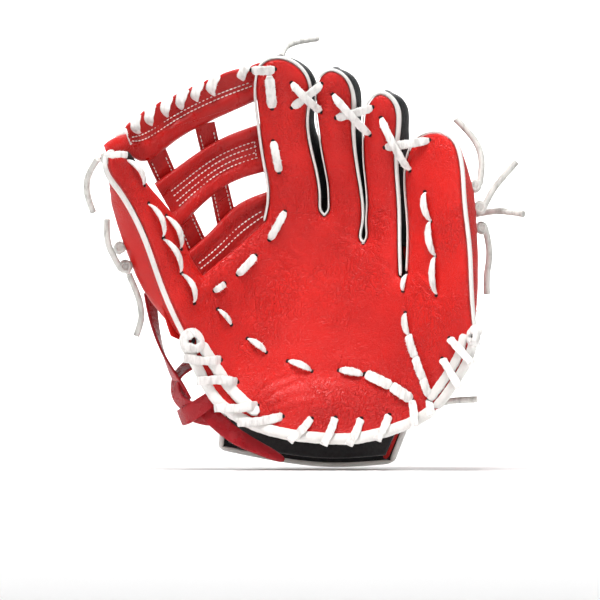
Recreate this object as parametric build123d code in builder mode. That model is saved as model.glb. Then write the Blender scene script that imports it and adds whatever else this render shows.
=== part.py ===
from build123d import *

# Fielder's baseball glove for a left hand, built as the separate leather, padding and lace pieces of a real one.
#
# Millimetres. The glove is held up as a hand holds it: fingers along +Z, catching side facing -Y, thumb on -X.
# The origin is the middle of the wrist opening. Every palm-side piece is cut to an outline in the XZ plane from
# a sheet that follows the catching surface, so leather, pad and lining lie behind each other as real layers do.

import os
from functools import cache
from math import hypot, radians, tan

os.makedirs("parts", exist_ok=True)

# Catching surface: a bowl that is deepest at the pocket and comes forward (-Y) towards each of its sides.
POCKET_X, POCKET_Y, POCKET_Z = -4.0, -16.0, 92.0
THUMB_LIP, THUMB_REACH = 85.0, 135.0
PINKY_LIP, PINKY_REACH = 56.0, 115.0
TIP_LIP, TIP_REACH = 34.0, 165.0
HEEL_LIP, HEEL_REACH = 24.0, 95.0
SIDE_POWER = 2.2

# Layers, each a distance behind the catching surface.
LEATHER = 2.0
GAP = 0.2
PAD = 7.0
LINING = 1.2
PAD_DEPTH = LEATHER + GAP
LINING_DEPTH = PAD_DEPTH + PAD + GAP
PALM_STACK = LINING_DEPTH + LINING
EDGE_INSET = 4.0
STAY = 1.6

# Finger stalls: hollow shells behind the leather, lined, with a bulge on each side. A stall leans outward by its
# share of the surface's own slope. Thumb and pinky have a stiff stay between leather and stall.
STALL_FRONT = {"index": 2.6, "middle": 2.6, "ring": 2.6, "pinky": 4.6, "thumb": 4.6}
STALL_LEAN = {"index": 0.2, "middle": 0.2, "ring": 0.2, "pinky": 1.0, "thumb": 1.0}
STALL_WALL = 1.8
STALL_LINING = 1.0
TIP_SHARE = 4.4
STALL_BULGE = 1.3

# Trims, laces and web.
PIPING_RADIUS = 1.1
PIPING_DEPTH = 1.2
PIPING_STEPS = 36
LACE_WIDTH, LACE_THICK = 6.0, 2.3
BINDING, BINDING_WALL = 8.0, 1.3
WEB_DEPTH, WEB_THICK = 12.0, 4.4
POST_THICK = 2.4
WEB_WRAPS = 8
TAIL_RADIUS = 2.0
STRAP_WIDTH, STRAP_THICK = 11.0, 2.4
WRAP_LENGTH = 12.0

# Back of the hand: a sheet furthest back at BACK_X that wraps forward to both sides and towards the fingers.
BACK_X, BACK_Y = 6.0, 24.0
BACK_WRAP, BACK_REACH, BACK_POWER = 34.0, 72.0, 2.6
BACK_RISE, BACK_TOP = 13.0, 118.0
BACK_LEATHER = 2.2
FLEECE = 4.0

# Each stall from its open end up: height, left edge, right edge, and how far it swells behind the leather.
STALLS = {
    "index": [(118, -28, 8, 25), (150, -27, 8, 24), (186, -30, 3.2, 23), (222, -35, -2, 21), (241, -34.5, -3.5, 16),
              (254, -29, -14, 5)],
    "middle": [(118, 12, 35, 26), (150, 12, 34.6, 24), (186, 9.4, 31.4, 23), (221, 5, 28.2, 20), (238, 5.5, 26.6, 14),
               (247, 10, 19.5, 5)],
    "ring": [(118, 39.4, 60, 25), (150, 39.6, 60, 23), (186, 37.8, 59, 22), (208, 37.8, 59.4, 18), (222, 39.8, 57, 12),
             (231, 45, 53.5, 5)],
    "pinky": [(56, 82.5, 110.5, 18), (84, 75, 110, 22), (112, 69.5, 108.5, 24), (133, 69.4, 107, 24),
              (160, 68.8, 104, 23), (182, 67, 102, 19), (196, 71, 98, 13), (204, 79, 93, 5)],
    "thumb": [(73, -91, -80, 25), (86, -96, -80, 26), (107, -102, -79.5, 26), (125, -108.5, -87, 26),
              (146, -117.5, -94.5, 24), (168, -129.5, -111.5, 19), (181, -136.5, -123.5, 14), (189.5, -137.5, -131, 6)],
}

# Outlines in (x, z).
INDEX_EDGE = [(-30.8, 146), (-28, 162), (-30.8, 185.5), (-35.7, 220.5), (-36.4, 245), (-32.2, 255), (-23, 258.2),
              (-12, 255), (-3.5, 246), (-1, 235), (-2.8, 222), (2.8, 182), (5.9, 160), (9.8, 149)]
MIDDLE_EDGE = [(9.8, 149), (13.8, 158), (13.4, 170), (10.6, 186), (6.2, 212), (5.2, 238), (8, 246), (13.3, 249.6),
               (20, 248), (26.5, 240), (28.6, 226), (28.4, 214), (31, 186), (35, 161), (35.4, 140), (37.1, 129.5)]
RING_EDGE = [(37.1, 129.5), (39.8, 138), (40.6, 156), (38.4, 184), (37.8, 212), (40.5, 226), (49, 233.8),
             (56, 229.5), (59.7, 214), (58.4, 196), (60.2, 160), (60.9, 128), (61.5, 108)]
PINKY_EDGE = [(68.2, 111), (68.6, 145), (66.6, 178), (68.6, 192), (74, 201.5), (86.8, 206.6), (97, 202), (101.6, 192),
              (104.8, 160), (108, 130), (110, 92), (112, 70)]
THUMB_EDGE = [(-85.4, 66), (-93, 82), (-102.5, 106), (-111.5, 132), (-121.5, 154), (-131.5, 170), (-138.6, 185),
              (-136.5, 191.5), (-130, 190.5), (-112.5, 171.4), (-100.5, 157), (-91.5, 144), (-84.8, 125), (-74.8, 108)]
THUMB_STAY = [[(-90, 84), (-103, 112), (-117.5, 142), (-129, 166)], [(-123, 168), (-106, 146), (-93, 122), (-84, 92)]]
PALM_WEB_EDGE = [(-73.2, 108), (-62.3, 118.6), (-49, 129.5), (-30.8, 146)]
HEEL_EDGE = [(-91.4, 60.5), (-82.1, 44.1), (-67.9, 19.9), (-43.5, 2.8), (-17.8, -5.1), (7, -8), (30, -8.4),
             (52.5, -3.7), (73.4, 4.2), (86.1, 12), (101.5, 30.8), (112, 49.3), (116.5, 68)]
PAD_TOP = 113.0

# Folds: the lines that the thumb and the pinky turn about, as two points on the front in (x, z), top first.
THUMB_FOLD = [(-74, 108), (-81, 59)]
THUMB_FOOT = (-80.8, 60.4)
PINKY_FOLD = [(66.4, 104.5), (90, 14.5)]
FOLD_GAP = 0.9

# H-web straps as lower and upper edges, and its posts as two end points and a width.
WEB_STRAPS = {
    "web_top_strap": ([(-131, 198), (-117, 187), (-97.3, 198.5), (-66, 217), (-38.5, 230)],
                      [(-38.5, 255), (-66, 246), (-92, 234), (-124, 214), (-131, 206)]),
    "web_middle_strap": ([(-99, 159), (-87, 145.5), (-56, 171), (-48, 176), (-35, 180)],
                         [(-39, 213), (-64, 202.6), (-94.5, 182), (-108, 172)]),
    "web_bottom_strap": ([(-75.5, 112), (-61, 124), (-37, 146)],
                         [(-34, 165), (-53, 156), (-66.5, 142), (-82.5, 128)]),
}
WEB_POSTS = {"web_left_post": ((-105, 188), (-78, 126), 16), "web_right_post": ((-72.5, 210), (-58, 143), 15)}

# Lace stitches on the front, each from one hole to the next in (x, z).
STITCHES = {
    "palm_web_lace": [((-17.5, 152.6), (-28.3, 133)), ((-38, 122), (-50.5, 108.8)), ((-59.5, 102.5), (-66.5, 97.5))],
    "pocket_lace": [((-64, 84.5), (-55, 73.9)), ((-43.4, 64), (-30.8, 54.6)), ((-15.4, 48.4), (1, 41.6)),
                    ((20.3, 42), (36.6, 39))],
    "corner_lace": [((40.5, 38.5), (56, 31)), ((59.5, 28.5), (70, 21))],
    "pinky_hinge_lace": [((66.2, 81), (68.4, 67)), ((69.3, 63.8), (73, 52.2)), ((74.2, 48.8), (78.4, 36.8)),
                         ((79.6, 33.6), (82.4, 26))],
    "index_lace": [((-33, 249.6), (-26, 249.8)), ((-27.3, 242.6), (-25.2, 226)), ((-25.2, 200.9), (-21.4, 180.6))],
    "thumb_lace": [((-124.6, 182.6), (-115.5, 171.5)), ((-111.3, 157), (-101.5, 135)), ((-100, 130), (-90.5, 110.5)),
                   ((-88.8, 105.5), (-83.5, 93))],
    "pinky_lace": [((78.3, 165.4), (84, 147)), ((81.5, 141), (86, 121.5)), ((82.5, 116.5), (86.8, 95.2))],
}

# Crossed laces between the tips: the strand underneath, then the strand on top.
TIP_LACES = {
    "index_middle_tip_lace": (((8.1, 240.8), (-12.6, 224.7)), ((-12.8, 241.5), (7.7, 221.9))),
    "middle_ring_tip_lace": (((43.4, 224.7), (18, 217.5)), ((15.8, 233.6), (41.7, 205.8))),
    "ring_pinky_tip_lace": (((82.6, 201.6), (51.8, 197)), ((49.2, 217.5), (69.3, 180.9))),
}

# Whip lace over the heel binding, each turn from its inner hole to the rim in (x, z).
HEEL_TURNS = [((-62.5, 51), (-80.5, 48.2)), ((-52.5, 34), (-74.5, 33)), ((-38, 17), (-56, 12.5)),
              ((-20, 9), (-38, 2.5)), ((0, 8.5), (-16, -5)), ((17.5, 9), (9.5, -7)), ((35.5, 8.5), (27.5, -7.5)),
              ((55, 11), (48.5, -3.5)), ((82.5, 20), (81.5, 12))]
PINKY_TURNS = [((91, 49), (101, 33)), ((97, 64.5), (111, 50.5))]

# Knots: centre in (x, z), ring radius and lace radius.
KNOTS = {"thumb_heel_knot": ((-81.2, 62.5), 6.3, 3.0), "pinky_heel_knot": ((112.5, 68), 4.4, 2.6)}
KNOT_LIFT = 2.0

# Back of the hand, in (x, z): the yoke that joins the finger backs, and the wrist strap with its fleece.
YOKE = [[(-58, 52), (-20, 46), (40, 46), (76, 56)], [(76, 56), (76, 104)],
        [(76, 104), (60, 111), (16, 114.5), (-28, 111), (-54, 100)], [(-54, 100), (-58, 52)]]
STRAP = [[(-62, -12), (-20, -21), (20, -24.5), (57, -22)], [(57, -22), (71, 12)],
         [(71, 12), (20, 18), (-20, 18), (-60, 14)], [(-60, 14), (-62, -12)]]
STRAP_EDGE = 1.6
FLEECE_INSET = 4.0

# The adjusting strap and the loose lace ends, as routes of straight runs joined by arcs.
TIE_STRAP = [(-107, -9, 86), (-105, -12, 62), (-96, -19, 41), (-87.5, -25, 25)]
TIE_TAIL = [(-67.5, -29, 7.5), (-54, -31, -2), (-36, -32, -12), (-18, -31, -21)]
TIE_KNOT = ((-78, -27, 14), (19, 12, 17))
TAILS = {
    "index_tip_tail": [(-20, -36, 258.5), (-19, -30, 266), (-13, -22, 270), (-4, -14, 272.5), (5, -5, 274)],
    "pinky_upper_tail": [(117.5, -44, 171), (119.5, -41, 182), (118.5, -38, 195), (111.5, -36, 207), (101, -36, 217)],
    "pinky_side_tail": [(121, -44, 156), (125, -43, 165), (133, -42, 175.5), (143.5, -42, 187)],
    "pinky_cross_tail": [(112, -20, 150), (121, -27, 152), (131, -34, 153), (140, -41, 152), (148, -48, 150.5)],
    "pinky_lower_tail": [(121.5, -42, 141), (124.5, -40, 130), (124.5, -38, 118), (122.5, -36, 107), (123, -35, 95)],
    "heel_tail": [(80, -33, 17), (89, -35, 19), (100, -38, 21.5), (116, -42, 22)],
    "thumb_tip_tail": [(-146, -90, 188), (-151, -84, 181), (-154.5, -77, 172), (-153.5, -70, 161), (-150, -64, 152)],
    "thumb_side_tail": [(-131, -46, 112), (-137, -45, 122), (-141.5, -43, 133), (-141, -41, 147)],
    "thumb_lower_tail": [(-126, -40, 109), (-121, -38, 98), (-117.5, -36, 86.5), (-117, -35, 76), (-121, -34, 66)],
}

PRISM = 200.0
SPAN = ((-160, -30), (134, 274))
SPAN_STEPS = 14


def finish(part, name):
    """Labels a finished piece and writes its STEP file."""
    part.label = name
    export_step(part, f"parts/{name}.step")


def pocket_y(x, z):
    """Depth of the catching surface at one point of the front view."""
    side, rise = x - POCKET_X, z - POCKET_Z
    lip, reach = (PINKY_LIP, PINKY_REACH) if side > 0 else (THUMB_LIP, THUMB_REACH)
    end, far = (TIP_LIP, TIP_REACH) if rise > 0 else (HEEL_LIP, HEEL_REACH)
    return POCKET_Y - hypot(lip * (abs(side) / reach) ** SIDE_POWER, end * (rise / far) ** 2)


def back_y(x, z):
    """Depth of the back of the hand."""
    return BACK_Y - BACK_WRAP * (abs(x - BACK_X) / BACK_REACH) ** BACK_POWER - BACK_RISE * (z / BACK_TOP) ** 2


def slopes(surface, x, z):
    """How a surface's depth changes along x and along z."""
    return surface(x + 0.5, z) - surface(x - 0.5, z), surface(x, z + 0.5) - surface(x, z - 0.5)


def behind(surface, x, z, depth):
    """The point that lies depth behind a surface, along its normal."""
    along, up = slopes(surface, x, z)
    return Vector(x, surface(x, z), z) + Vector(-along, 1, -up).normalized() * depth


def level(x, z, depth):
    """Depth of the sheet that lies depth behind the catching surface, at one height."""
    along, up = slopes(pocket_y, x, z)
    return pocket_y(x, z) + depth * hypot(1, along, up)


@cache
def beyond(surface, depth):
    """Everything further back than a sheet that lies depth behind a surface."""
    low, high = SPAN
    xs = [low[0] + (high[0] - low[0]) * i / SPAN_STEPS for i in range(SPAN_STEPS + 1)]
    zs = [low[1] + (high[1] - low[1]) * i / SPAN_STEPS for i in range(SPAN_STEPS + 1)]
    face = Face.make_surface_from_array_of_points([[behind(surface, x, z, depth) for x in xs] for z in zs])
    return Solid.extrude(face, Vector(0, PRISM, 0))


def outline(*edges):
    """A closed sketch whose sides are smooth curves through each list of points."""
    with BuildSketch() as shape:
        with BuildLine():
            for edge, after in zip(edges, edges[1:] + edges[:1]):
                if len(edge) > 2:
                    Spline(*edge)
                else:
                    Line(*edge)
                if hypot(edge[-1][0] - after[0][0], edge[-1][1] - after[0][1]) > 0.01:
                    Line(edge[-1], after[0])
        make_face()
    return shape.sketch


def band(points, width):
    """A strip of even width along a smooth curve."""
    with BuildSketch() as strip:
        with BuildLine() as line:
            if len(points) > 2:
                Spline(*points)
            else:
                Line(*points)
        trace(line.line, line_width=width)
    return strip.sketch


def strands(runs, width=LACE_WIDTH):
    """Flat lace strands with rounded ends, one for each pair of holes."""
    with BuildSketch() as shape:
        for start, end in runs:
            run = Vector(*end) - Vector(*start)
            middle = (Vector(*end) + Vector(*start)) / 2
            turn = Vector(1, 0, 0).get_signed_angle(run, Vector(0, 0, 1))
            with Locations(Location(middle, (0, 0, turn))):
                SlotCenterToCenter(run.length - width * 0.4, width)
    return shape.sketch


def cut_sheet(region, depth, thickness, surface=pocket_y):
    """A piece of even thickness, cut to a region of the XZ plane, its front face depth behind a surface."""
    with BuildPart() as piece:
        with BuildSketch(Plane.XZ):
            add(region)
        extrude(amount=PRISM, both=True)
        add(beyond(surface, depth), mode=Mode.INTERSECT)
        add(beyond(surface, depth + thickness), mode=Mode.SUBTRACT)
    return piece.part


def stall_section(name, section, inset):
    """One level section of a stall: along the leather in front, swelling behind."""
    z, left, right, swell = section
    left, right = left + inset, right - inset
    front = [Vector(x, level(x, z, STALL_FRONT[name] + inset), z) for x in (left, (left + right) / 2, right)]
    chord = front[2] - front[0]
    across = chord.normalized()
    out = Vector(-across.Y * STALL_LEAN[name], across.X, 0).normalized() * (swell - 2 * inset)
    bulge = across * STALL_BULGE
    behind_points = [front[0] + out * 0.42 - bulge, front[0] + chord * 0.14 + out * 0.88, front[0] + chord / 2 + out,
                     front[2] - chord * 0.14 + out * 0.88, front[2] + out * 0.42 + bulge]
    with BuildSketch(Plane.XY.offset(z)) as shape:
        with BuildLine():
            Spline(*[(p.X, p.Y) for p in front])
            Spline(*[(p.X, p.Y) for p in (front[0], *behind_points, front[2])])
        make_face()
    return shape.sketch


def stall_form(name, inset):
    """The solid form of a stall, set in from its outside. Set in further, it also ends further below the tip."""
    below, tip = STALLS[name][-2:]
    share = 1 - inset / TIP_SHARE
    top = tuple(low + (high - low) * share for low, high in zip(below, tip))
    with BuildPart() as form:
        for section in [*STALLS[name][:-1], top]:
            add(stall_section(name, section, inset))
        loft()
    return form.part


def shell(outer, inner):
    """The wall between two stall forms, open at the lower end."""
    with BuildPart() as wall:
        add(outer)
        add(inner, mode=Mode.SUBTRACT)
    return wall.part


def tangent_arcs(points, share=0.45):
    """The radius at each corner of a route, as large as its two runs allow."""
    radii = []
    for a, b, c in zip(points, points[1:], points[2:]):
        before, after = Vector(*b) - Vector(*a), Vector(*c) - Vector(*b)
        half_turn = radians(before.get_angle(after)) / 2
        radii.append(share * min(before.length, after.length) / tan(half_turn))
    return radii


def tube(points, radius):
    """A round strand along straight runs joined by tangent arcs."""
    with BuildPart() as strand:
        with BuildLine() as route:
            FilletPolyline(*points, radius=tangent_arcs(points))
        with BuildSketch(Plane(route.line @ 0, z_dir=route.line % 0)):
            Circle(radius)
        sweep()
    return strand.part


def ribbon(points, width, thickness):
    """A flat strip along straight runs joined by tangent arcs."""
    with BuildPart() as strip:
        with BuildLine() as route:
            FilletPolyline(*points, radius=tangent_arcs(points))
        with BuildSketch(Plane(route.line @ 0, x_dir=(1, 0, 0), z_dir=route.line % 0)):
            Rectangle(width, thickness)
        sweep()
    return strip.part


def knot(place, ring, strand):
    """A lace knot: a ring of lace that lies flat on the front."""
    x, z = place
    along, up = slopes(pocket_y, x, z)
    with BuildPart() as turn:
        with Locations(Plane(behind(pocket_y, x, z, -(strand + KNOT_LIFT)), z_dir=(along, -1, up))):
            Torus(ring, strand)
    return turn.part


def binding(side):
    """The leather strip that wraps the rim, with a slot for the palm leather."""
    wrap = GAP + BINDING_WALL
    outside = cut_sheet(side, -wrap, LEATHER + 2 * wrap)
    slot = cut_sheet(side - band(HEEL_EDGE, 2 * BINDING_WALL), -GAP, LEATHER + 2 * GAP)
    return shell(outside, slot)


def on_front(runs, layer=1, under=0):
    """Lace strands that lie on the front, in one of several layers above what is under them."""
    return cut_sheet(strands(runs), -(under + layer * (GAP + LACE_THICK)), LACE_THICK)


def web_wraps(edge):
    """The turns of lace over the top strap, square to its upper edge."""
    with BuildLine() as line:
        Spline(*edge)
    runs = []
    for i in range(WEB_WRAPS):
        t = 0.07 + 0.88 * i / (WEB_WRAPS - 1)
        place, along = line.line @ t, line.line % t
        inside = place + Vector(-along.Y, along.X) * WRAP_LENGTH
        runs.append(((inside.X, inside.Y), (place.X, place.Y)))
    return runs


def piping(edge, start=0.0, end=1.0):
    """A round welt that follows an edge of the leather, just outside it, between two shares of its length."""
    out = PIPING_RADIUS + 2 * GAP
    with BuildLine() as line:
        Spline(*edge)
    route = []
    for i in range(PIPING_STEPS + 1):
        t = start + (end - start) * i / PIPING_STEPS
        place, along = line.line @ t, line.line % t
        x, z = place.X - along.Y * out, place.Y + along.X * out
        route.append((x, level(x, z, PIPING_DEPTH), z))
    return tube(route, PIPING_RADIUS)


def trimmed(region, edges, inset):
    """A region set back from some of its edges."""
    for edge in edges:
        region = region - band(edge, 2 * inset)
    return region


def beside(line, shift):
    """A fold line moved along X."""
    return [(x + shift, z) for x, z in line]


def outward(line, far):
    """The side of the front view that lies beyond the pinky fold, up through the slit beside the ring finger."""
    top, heel = line
    slope = (heel[0] - top[0]) / (heel[1] - top[1])
    with BuildSketch() as side:
        with BuildLine():
            Polyline(top, (top[0] - 2, top[1] + 8), (top[0] - 2, far), (far, far), (far, -far / 2),
                     (top[0] + slope * (-far / 2 - top[1]), -far / 2), close=True)
        make_face()
    return side.sketch


# Regions of the front view.
slit_end = [RING_EDGE[-1], (64.6, 105.4), PINKY_EDGE[0]]
glove = outline(beside(THUMB_FOLD[::-1], FOLD_GAP / 2), PALM_WEB_EDGE, INDEX_EDGE, MIDDLE_EDGE, RING_EDGE, slit_end,
                PINKY_EDGE, HEEL_EDGE[::-1])
rim = band(HEEL_EDGE, 2 * (BINDING_WALL + GAP))
heel_band = band(HEEL_EDGE, 2 * BINDING) & glove
pad_band = band(HEEL_EDGE, 2 * (BINDING + EDGE_INSET))
pinky_side = outward(beside(PINKY_FOLD, FOLD_GAP / 2), 320)
beyond_fold = outward(beside(PINKY_FOLD, -FOLD_GAP / 2), 320)
with BuildSketch() as hand:
    with Locations((0, PAD_TOP - 150)):
        Rectangle(400, 300)
leather = glove - rim
padded = (glove & hand.sketch) - pad_band
thumb_region = outline(THUMB_EDGE, beside([THUMB_FOLD[0], THUMB_FOOT], -FOLD_GAP / 2))
palm_region = leather - beyond_fold
pinky_region = leather & pinky_side

# Palm: leather, pad and lining, one behind the other.
finish(cut_sheet(palm_region, 0, LEATHER), "palm_leather")
finish(cut_sheet(padded - beyond_fold, PAD_DEPTH, PAD), "palm_pad")
finish(cut_sheet(padded - beyond_fold, LINING_DEPTH, LINING), "palm_lining")

# Pinky and thumb fronts, each with its stay.
finish(cut_sheet(pinky_region, 0, LEATHER), "pinky_leather")
finish(cut_sheet(thumb_region, 0, LEATHER), "thumb_leather")
pinky_stay = trimmed(pinky_region - pad_band, [PINKY_EDGE, PINKY_FOLD], EDGE_INSET)
finish(cut_sheet(pinky_stay, PAD_DEPTH, STAY), "pinky_stay")
finish(cut_sheet(outline(*THUMB_STAY), PAD_DEPTH, STAY), "thumb_stay")

# Finger stalls with their linings.
for name in STALLS:
    lining = STALL_WALL + GAP
    finish(shell(stall_form(name, 0), stall_form(name, STALL_WALL)), f"{name}_back")
    finish(shell(stall_form(name, lining), stall_form(name, lining + STALL_LINING)), f"{name}_lining")

# White piping outside the edges of the leather.
finish(piping(INDEX_EDGE, 0.02, 0.93), "index_piping")
finish(piping(MIDDLE_EDGE, 0.09, 0.82), "middle_piping")
finish(piping(RING_EDGE, 0.16, 0.97), "ring_piping")
finish(piping(PINKY_EDGE, 0.02, 0.92), "pinky_piping")
finish(piping(THUMB_EDGE, 0.06, 0.92), "thumb_piping")

# Back of the hand.
finish(cut_sheet(outline(*YOKE), 0, BACK_LEATHER, back_y), "back_yoke")
finish(cut_sheet(outline(*STRAP), 0, BACK_LEATHER, back_y), "wrist_strap")
finish(cut_sheet(trimmed(outline(*STRAP), STRAP, FLEECE_INSET), -(FLEECE + GAP), FLEECE, back_y), "wrist_fleece")
with BuildSketch() as strap_trim:
    for edge, side in ((STRAP[0], -1), (STRAP[2], 1)):
        add(band([(x, z + side * (STRAP_EDGE + GAP)) for x, z in edge], STRAP_EDGE))
finish(cut_sheet(strap_trim.sketch, 0, BACK_LEATHER, back_y), "wrist_strap_binding")

# Heel binding and the lace whipped over it.
finish(binding(heel_band - beyond_fold), "heel_binding")
finish(binding(heel_band & pinky_side), "pinky_heel_binding")
finish(on_front(HEEL_TURNS, under=GAP + BINDING_WALL), "heel_lace")
finish(on_front(PINKY_TURNS, under=GAP + BINDING_WALL), "pinky_heel_lace")
for name, (place, ring, strand) in KNOTS.items():
    finish(knot(place, ring, strand), name)

# Web.
for name, edges in WEB_STRAPS.items():
    finish(cut_sheet(outline(*edges), WEB_DEPTH, WEB_THICK), name)
for name, (start, end, width) in WEB_POSTS.items():
    finish(cut_sheet(strands([(start, end)], width), WEB_DEPTH + WEB_THICK + GAP, POST_THICK), name)
wraps = strands(web_wraps(WEB_STRAPS["web_top_strap"][1]))
finish(cut_sheet(wraps, WEB_DEPTH - GAP - LACE_THICK, LACE_THICK), "web_top_lace")

# Laces.
for name, runs in STITCHES.items():
    finish(on_front(runs), name)
for name, (lower, upper) in TIP_LACES.items():
    with BuildPart() as crossed:
        add(on_front([lower]))
        add(on_front([upper], layer=2))
    finish(crossed.part, name)

# Adjusting strap with its knot.
finish(ribbon(TIE_STRAP, STRAP_WIDTH, STRAP_THICK), "tie_strap")
finish(ribbon(TIE_TAIL, STRAP_WIDTH, STRAP_THICK), "tie_strap_end")
with BuildPart(Plane(TIE_KNOT[0])) as tie_knot:
    Box(*TIE_KNOT[1])
    fillet(tie_knot.edges(), radius=4.5)
finish(tie_knot.part, "tie_knot")

# Loose lace ends.
for name, route in TAILS.items():
    finish(tube(route, TAIL_RADIUS), name)
    print(name, "bend radii", [round(radius, 1) for radius in tangent_arcs(route)])
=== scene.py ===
import math

import bmesh
import bpy
import numpy as np
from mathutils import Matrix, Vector
from mathutils.geometry import delaunay_2d_cdt


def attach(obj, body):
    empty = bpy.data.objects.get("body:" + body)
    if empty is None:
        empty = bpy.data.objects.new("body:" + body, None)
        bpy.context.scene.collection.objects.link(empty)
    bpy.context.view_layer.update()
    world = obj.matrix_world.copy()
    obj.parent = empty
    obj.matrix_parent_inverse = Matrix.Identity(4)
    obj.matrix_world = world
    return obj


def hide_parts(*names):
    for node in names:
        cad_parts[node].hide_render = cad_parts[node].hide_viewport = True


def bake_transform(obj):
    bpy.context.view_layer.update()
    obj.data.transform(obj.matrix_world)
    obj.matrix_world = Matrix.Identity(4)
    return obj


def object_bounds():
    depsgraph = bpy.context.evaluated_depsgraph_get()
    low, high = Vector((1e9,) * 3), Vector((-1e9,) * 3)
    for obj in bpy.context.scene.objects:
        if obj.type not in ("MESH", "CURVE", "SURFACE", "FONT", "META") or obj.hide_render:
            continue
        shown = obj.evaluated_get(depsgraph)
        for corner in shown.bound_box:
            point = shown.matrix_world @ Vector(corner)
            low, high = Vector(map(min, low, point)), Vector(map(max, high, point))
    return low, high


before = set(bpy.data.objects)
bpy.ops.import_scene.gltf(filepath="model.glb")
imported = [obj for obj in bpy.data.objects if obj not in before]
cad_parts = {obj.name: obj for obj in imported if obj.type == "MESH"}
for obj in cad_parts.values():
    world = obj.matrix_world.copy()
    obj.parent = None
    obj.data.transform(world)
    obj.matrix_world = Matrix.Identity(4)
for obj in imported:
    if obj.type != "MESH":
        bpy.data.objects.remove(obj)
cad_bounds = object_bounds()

MM = 0.001
rng = np.random.default_rng(11)

# Catching surface and back of the hand, as in the frame (mm).
POCKET = (-4.0, -16.0, 92.0)
THUMB_LIP, THUMB_REACH = 85.0, 135.0
PINKY_LIP, PINKY_REACH = 56.0, 115.0
TIP_LIP, TIP_REACH = 34.0, 165.0
HEEL_LIP, HEEL_REACH = 24.0, 95.0
SIDE_POWER = 2.2
BACK_X, BACK_Y = 6.0, 24.0
BACK_WRAP, BACK_REACH, BACK_POWER = 34.0, 72.0, 2.6
BACK_RISE, BACK_TOP = 13.0, 118.0
BACK_TURN, BACK_SLOPE = 60.0, 0.78

LEATHER = 1.9
ROLL, ROLL_DEPTH = 2.8, 2.5
CROWN, CROWN_REACH = 2.6, 13.0
WEB_DEPTH, WEB_THICK, POST_THICK = 12.0, 4.4, 2.4

INDEX_EDGE = [(-30.8, 146), (-28, 162), (-30.8, 185.5), (-35.7, 220.5), (-36.4, 245), (-32.2, 255), (-23, 258.2),
    (-12, 255), (-3.5, 246), (-1, 235), (-2.8, 222), (2.8, 182), (5.6, 160), (6.6, 152.2), (9.8, 149)]
MIDDLE_EDGE = [(9.8, 149), (13.2, 152.2), (14, 159), (13.4, 170), (10.6, 186), (6.2, 212), (5.2, 238), (8, 246),
    (13.3, 249.6), (20, 248), (26.5, 240), (28.6, 226), (28.4, 214), (31, 186), (35,
        161), (34.8, 142), (34.3, 133), (37.1, 129.5)]
RING_EDGE = [(37.1, 129.5), (39.9, 133), (40.2, 142), (40.6, 156), (38.4, 184), (37.8, 212), (40.5, 226), (49, 233.8),
    (56, 229.5), (59.7, 214), (58.4, 196), (60.2, 160), (60.9, 128), (61.5, 108)]
SLIT_END = [(61.5, 108), (64.6, 105.4), (68.2, 111)]
PINKY_EDGE = [(68.2, 111), (68.6, 145), (66.6, 178), (68.6, 192), (74, 201.5), (86.8, 206.6), (97, 202), (101.6, 192),
    (104.8, 160), (108, 130), (110, 92), (112, 70)]
THUMB_EDGE = [(-85.4, 66), (-93, 82), (-102.5, 106), (-111.5, 132), (-121.5, 154), (-131.5, 170), (-138.6, 185),
    (-136.5, 191.5), (-130, 190.5), (-112.5, 171.4), (-100.5, 157), (-91.5, 144), (-84.8, 125), (-74.8, 108)]
PALM_WEB_EDGE = [(-74.4, 108), (-62.3, 118.6), (-49, 129.5), (-30.8, 146)]
HEEL_EDGE = [(-91.4, 60.5), (-82.1, 44.1), (-67.9, 19.9), (-43.5, 2.8), (-17.8, -5.1), (7, -8), (30, -8.4),
    (52.5, -3.7), (73.4, 4.2), (86.1, 12), (101.5, 30.8), (112, 49.3), (116.5, 68)]
PINKY_FOLD = [(66.4, 104.5), (90, 14.5)]
WEB_STRAPS = {
    "web_top_strap": ([(-131, 198), (-117, 187), (-97.3, 198.5), (-66, 217), (-33.5, 231.5)],
        [(-131, 206), (-124, 214), (-92, 234), (-66, 246), (-34.5, 255.5)]),
    "web_middle_strap": ([(-90.5, 141.5), (-78, 154.5), (-55, 172.7), (-30.5, 180.8)],
        [(-108, 172), (-94.5, 182), (-64, 202.6), (-33.5, 214.5)]),
    "web_bottom_strap": ([(-77.5, 98), (-58, 113), (-29, 141)],
        [(-86, 124), (-66.5, 142), (-53, 156), (-29.5, 167)]),
}
WEB_POSTS = {"web_left_post": ((-108, 195), (-76, 122), 15.5), "web_right_post": ((-73.5, 214), (-56.5, 139), 14.5)}

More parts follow.
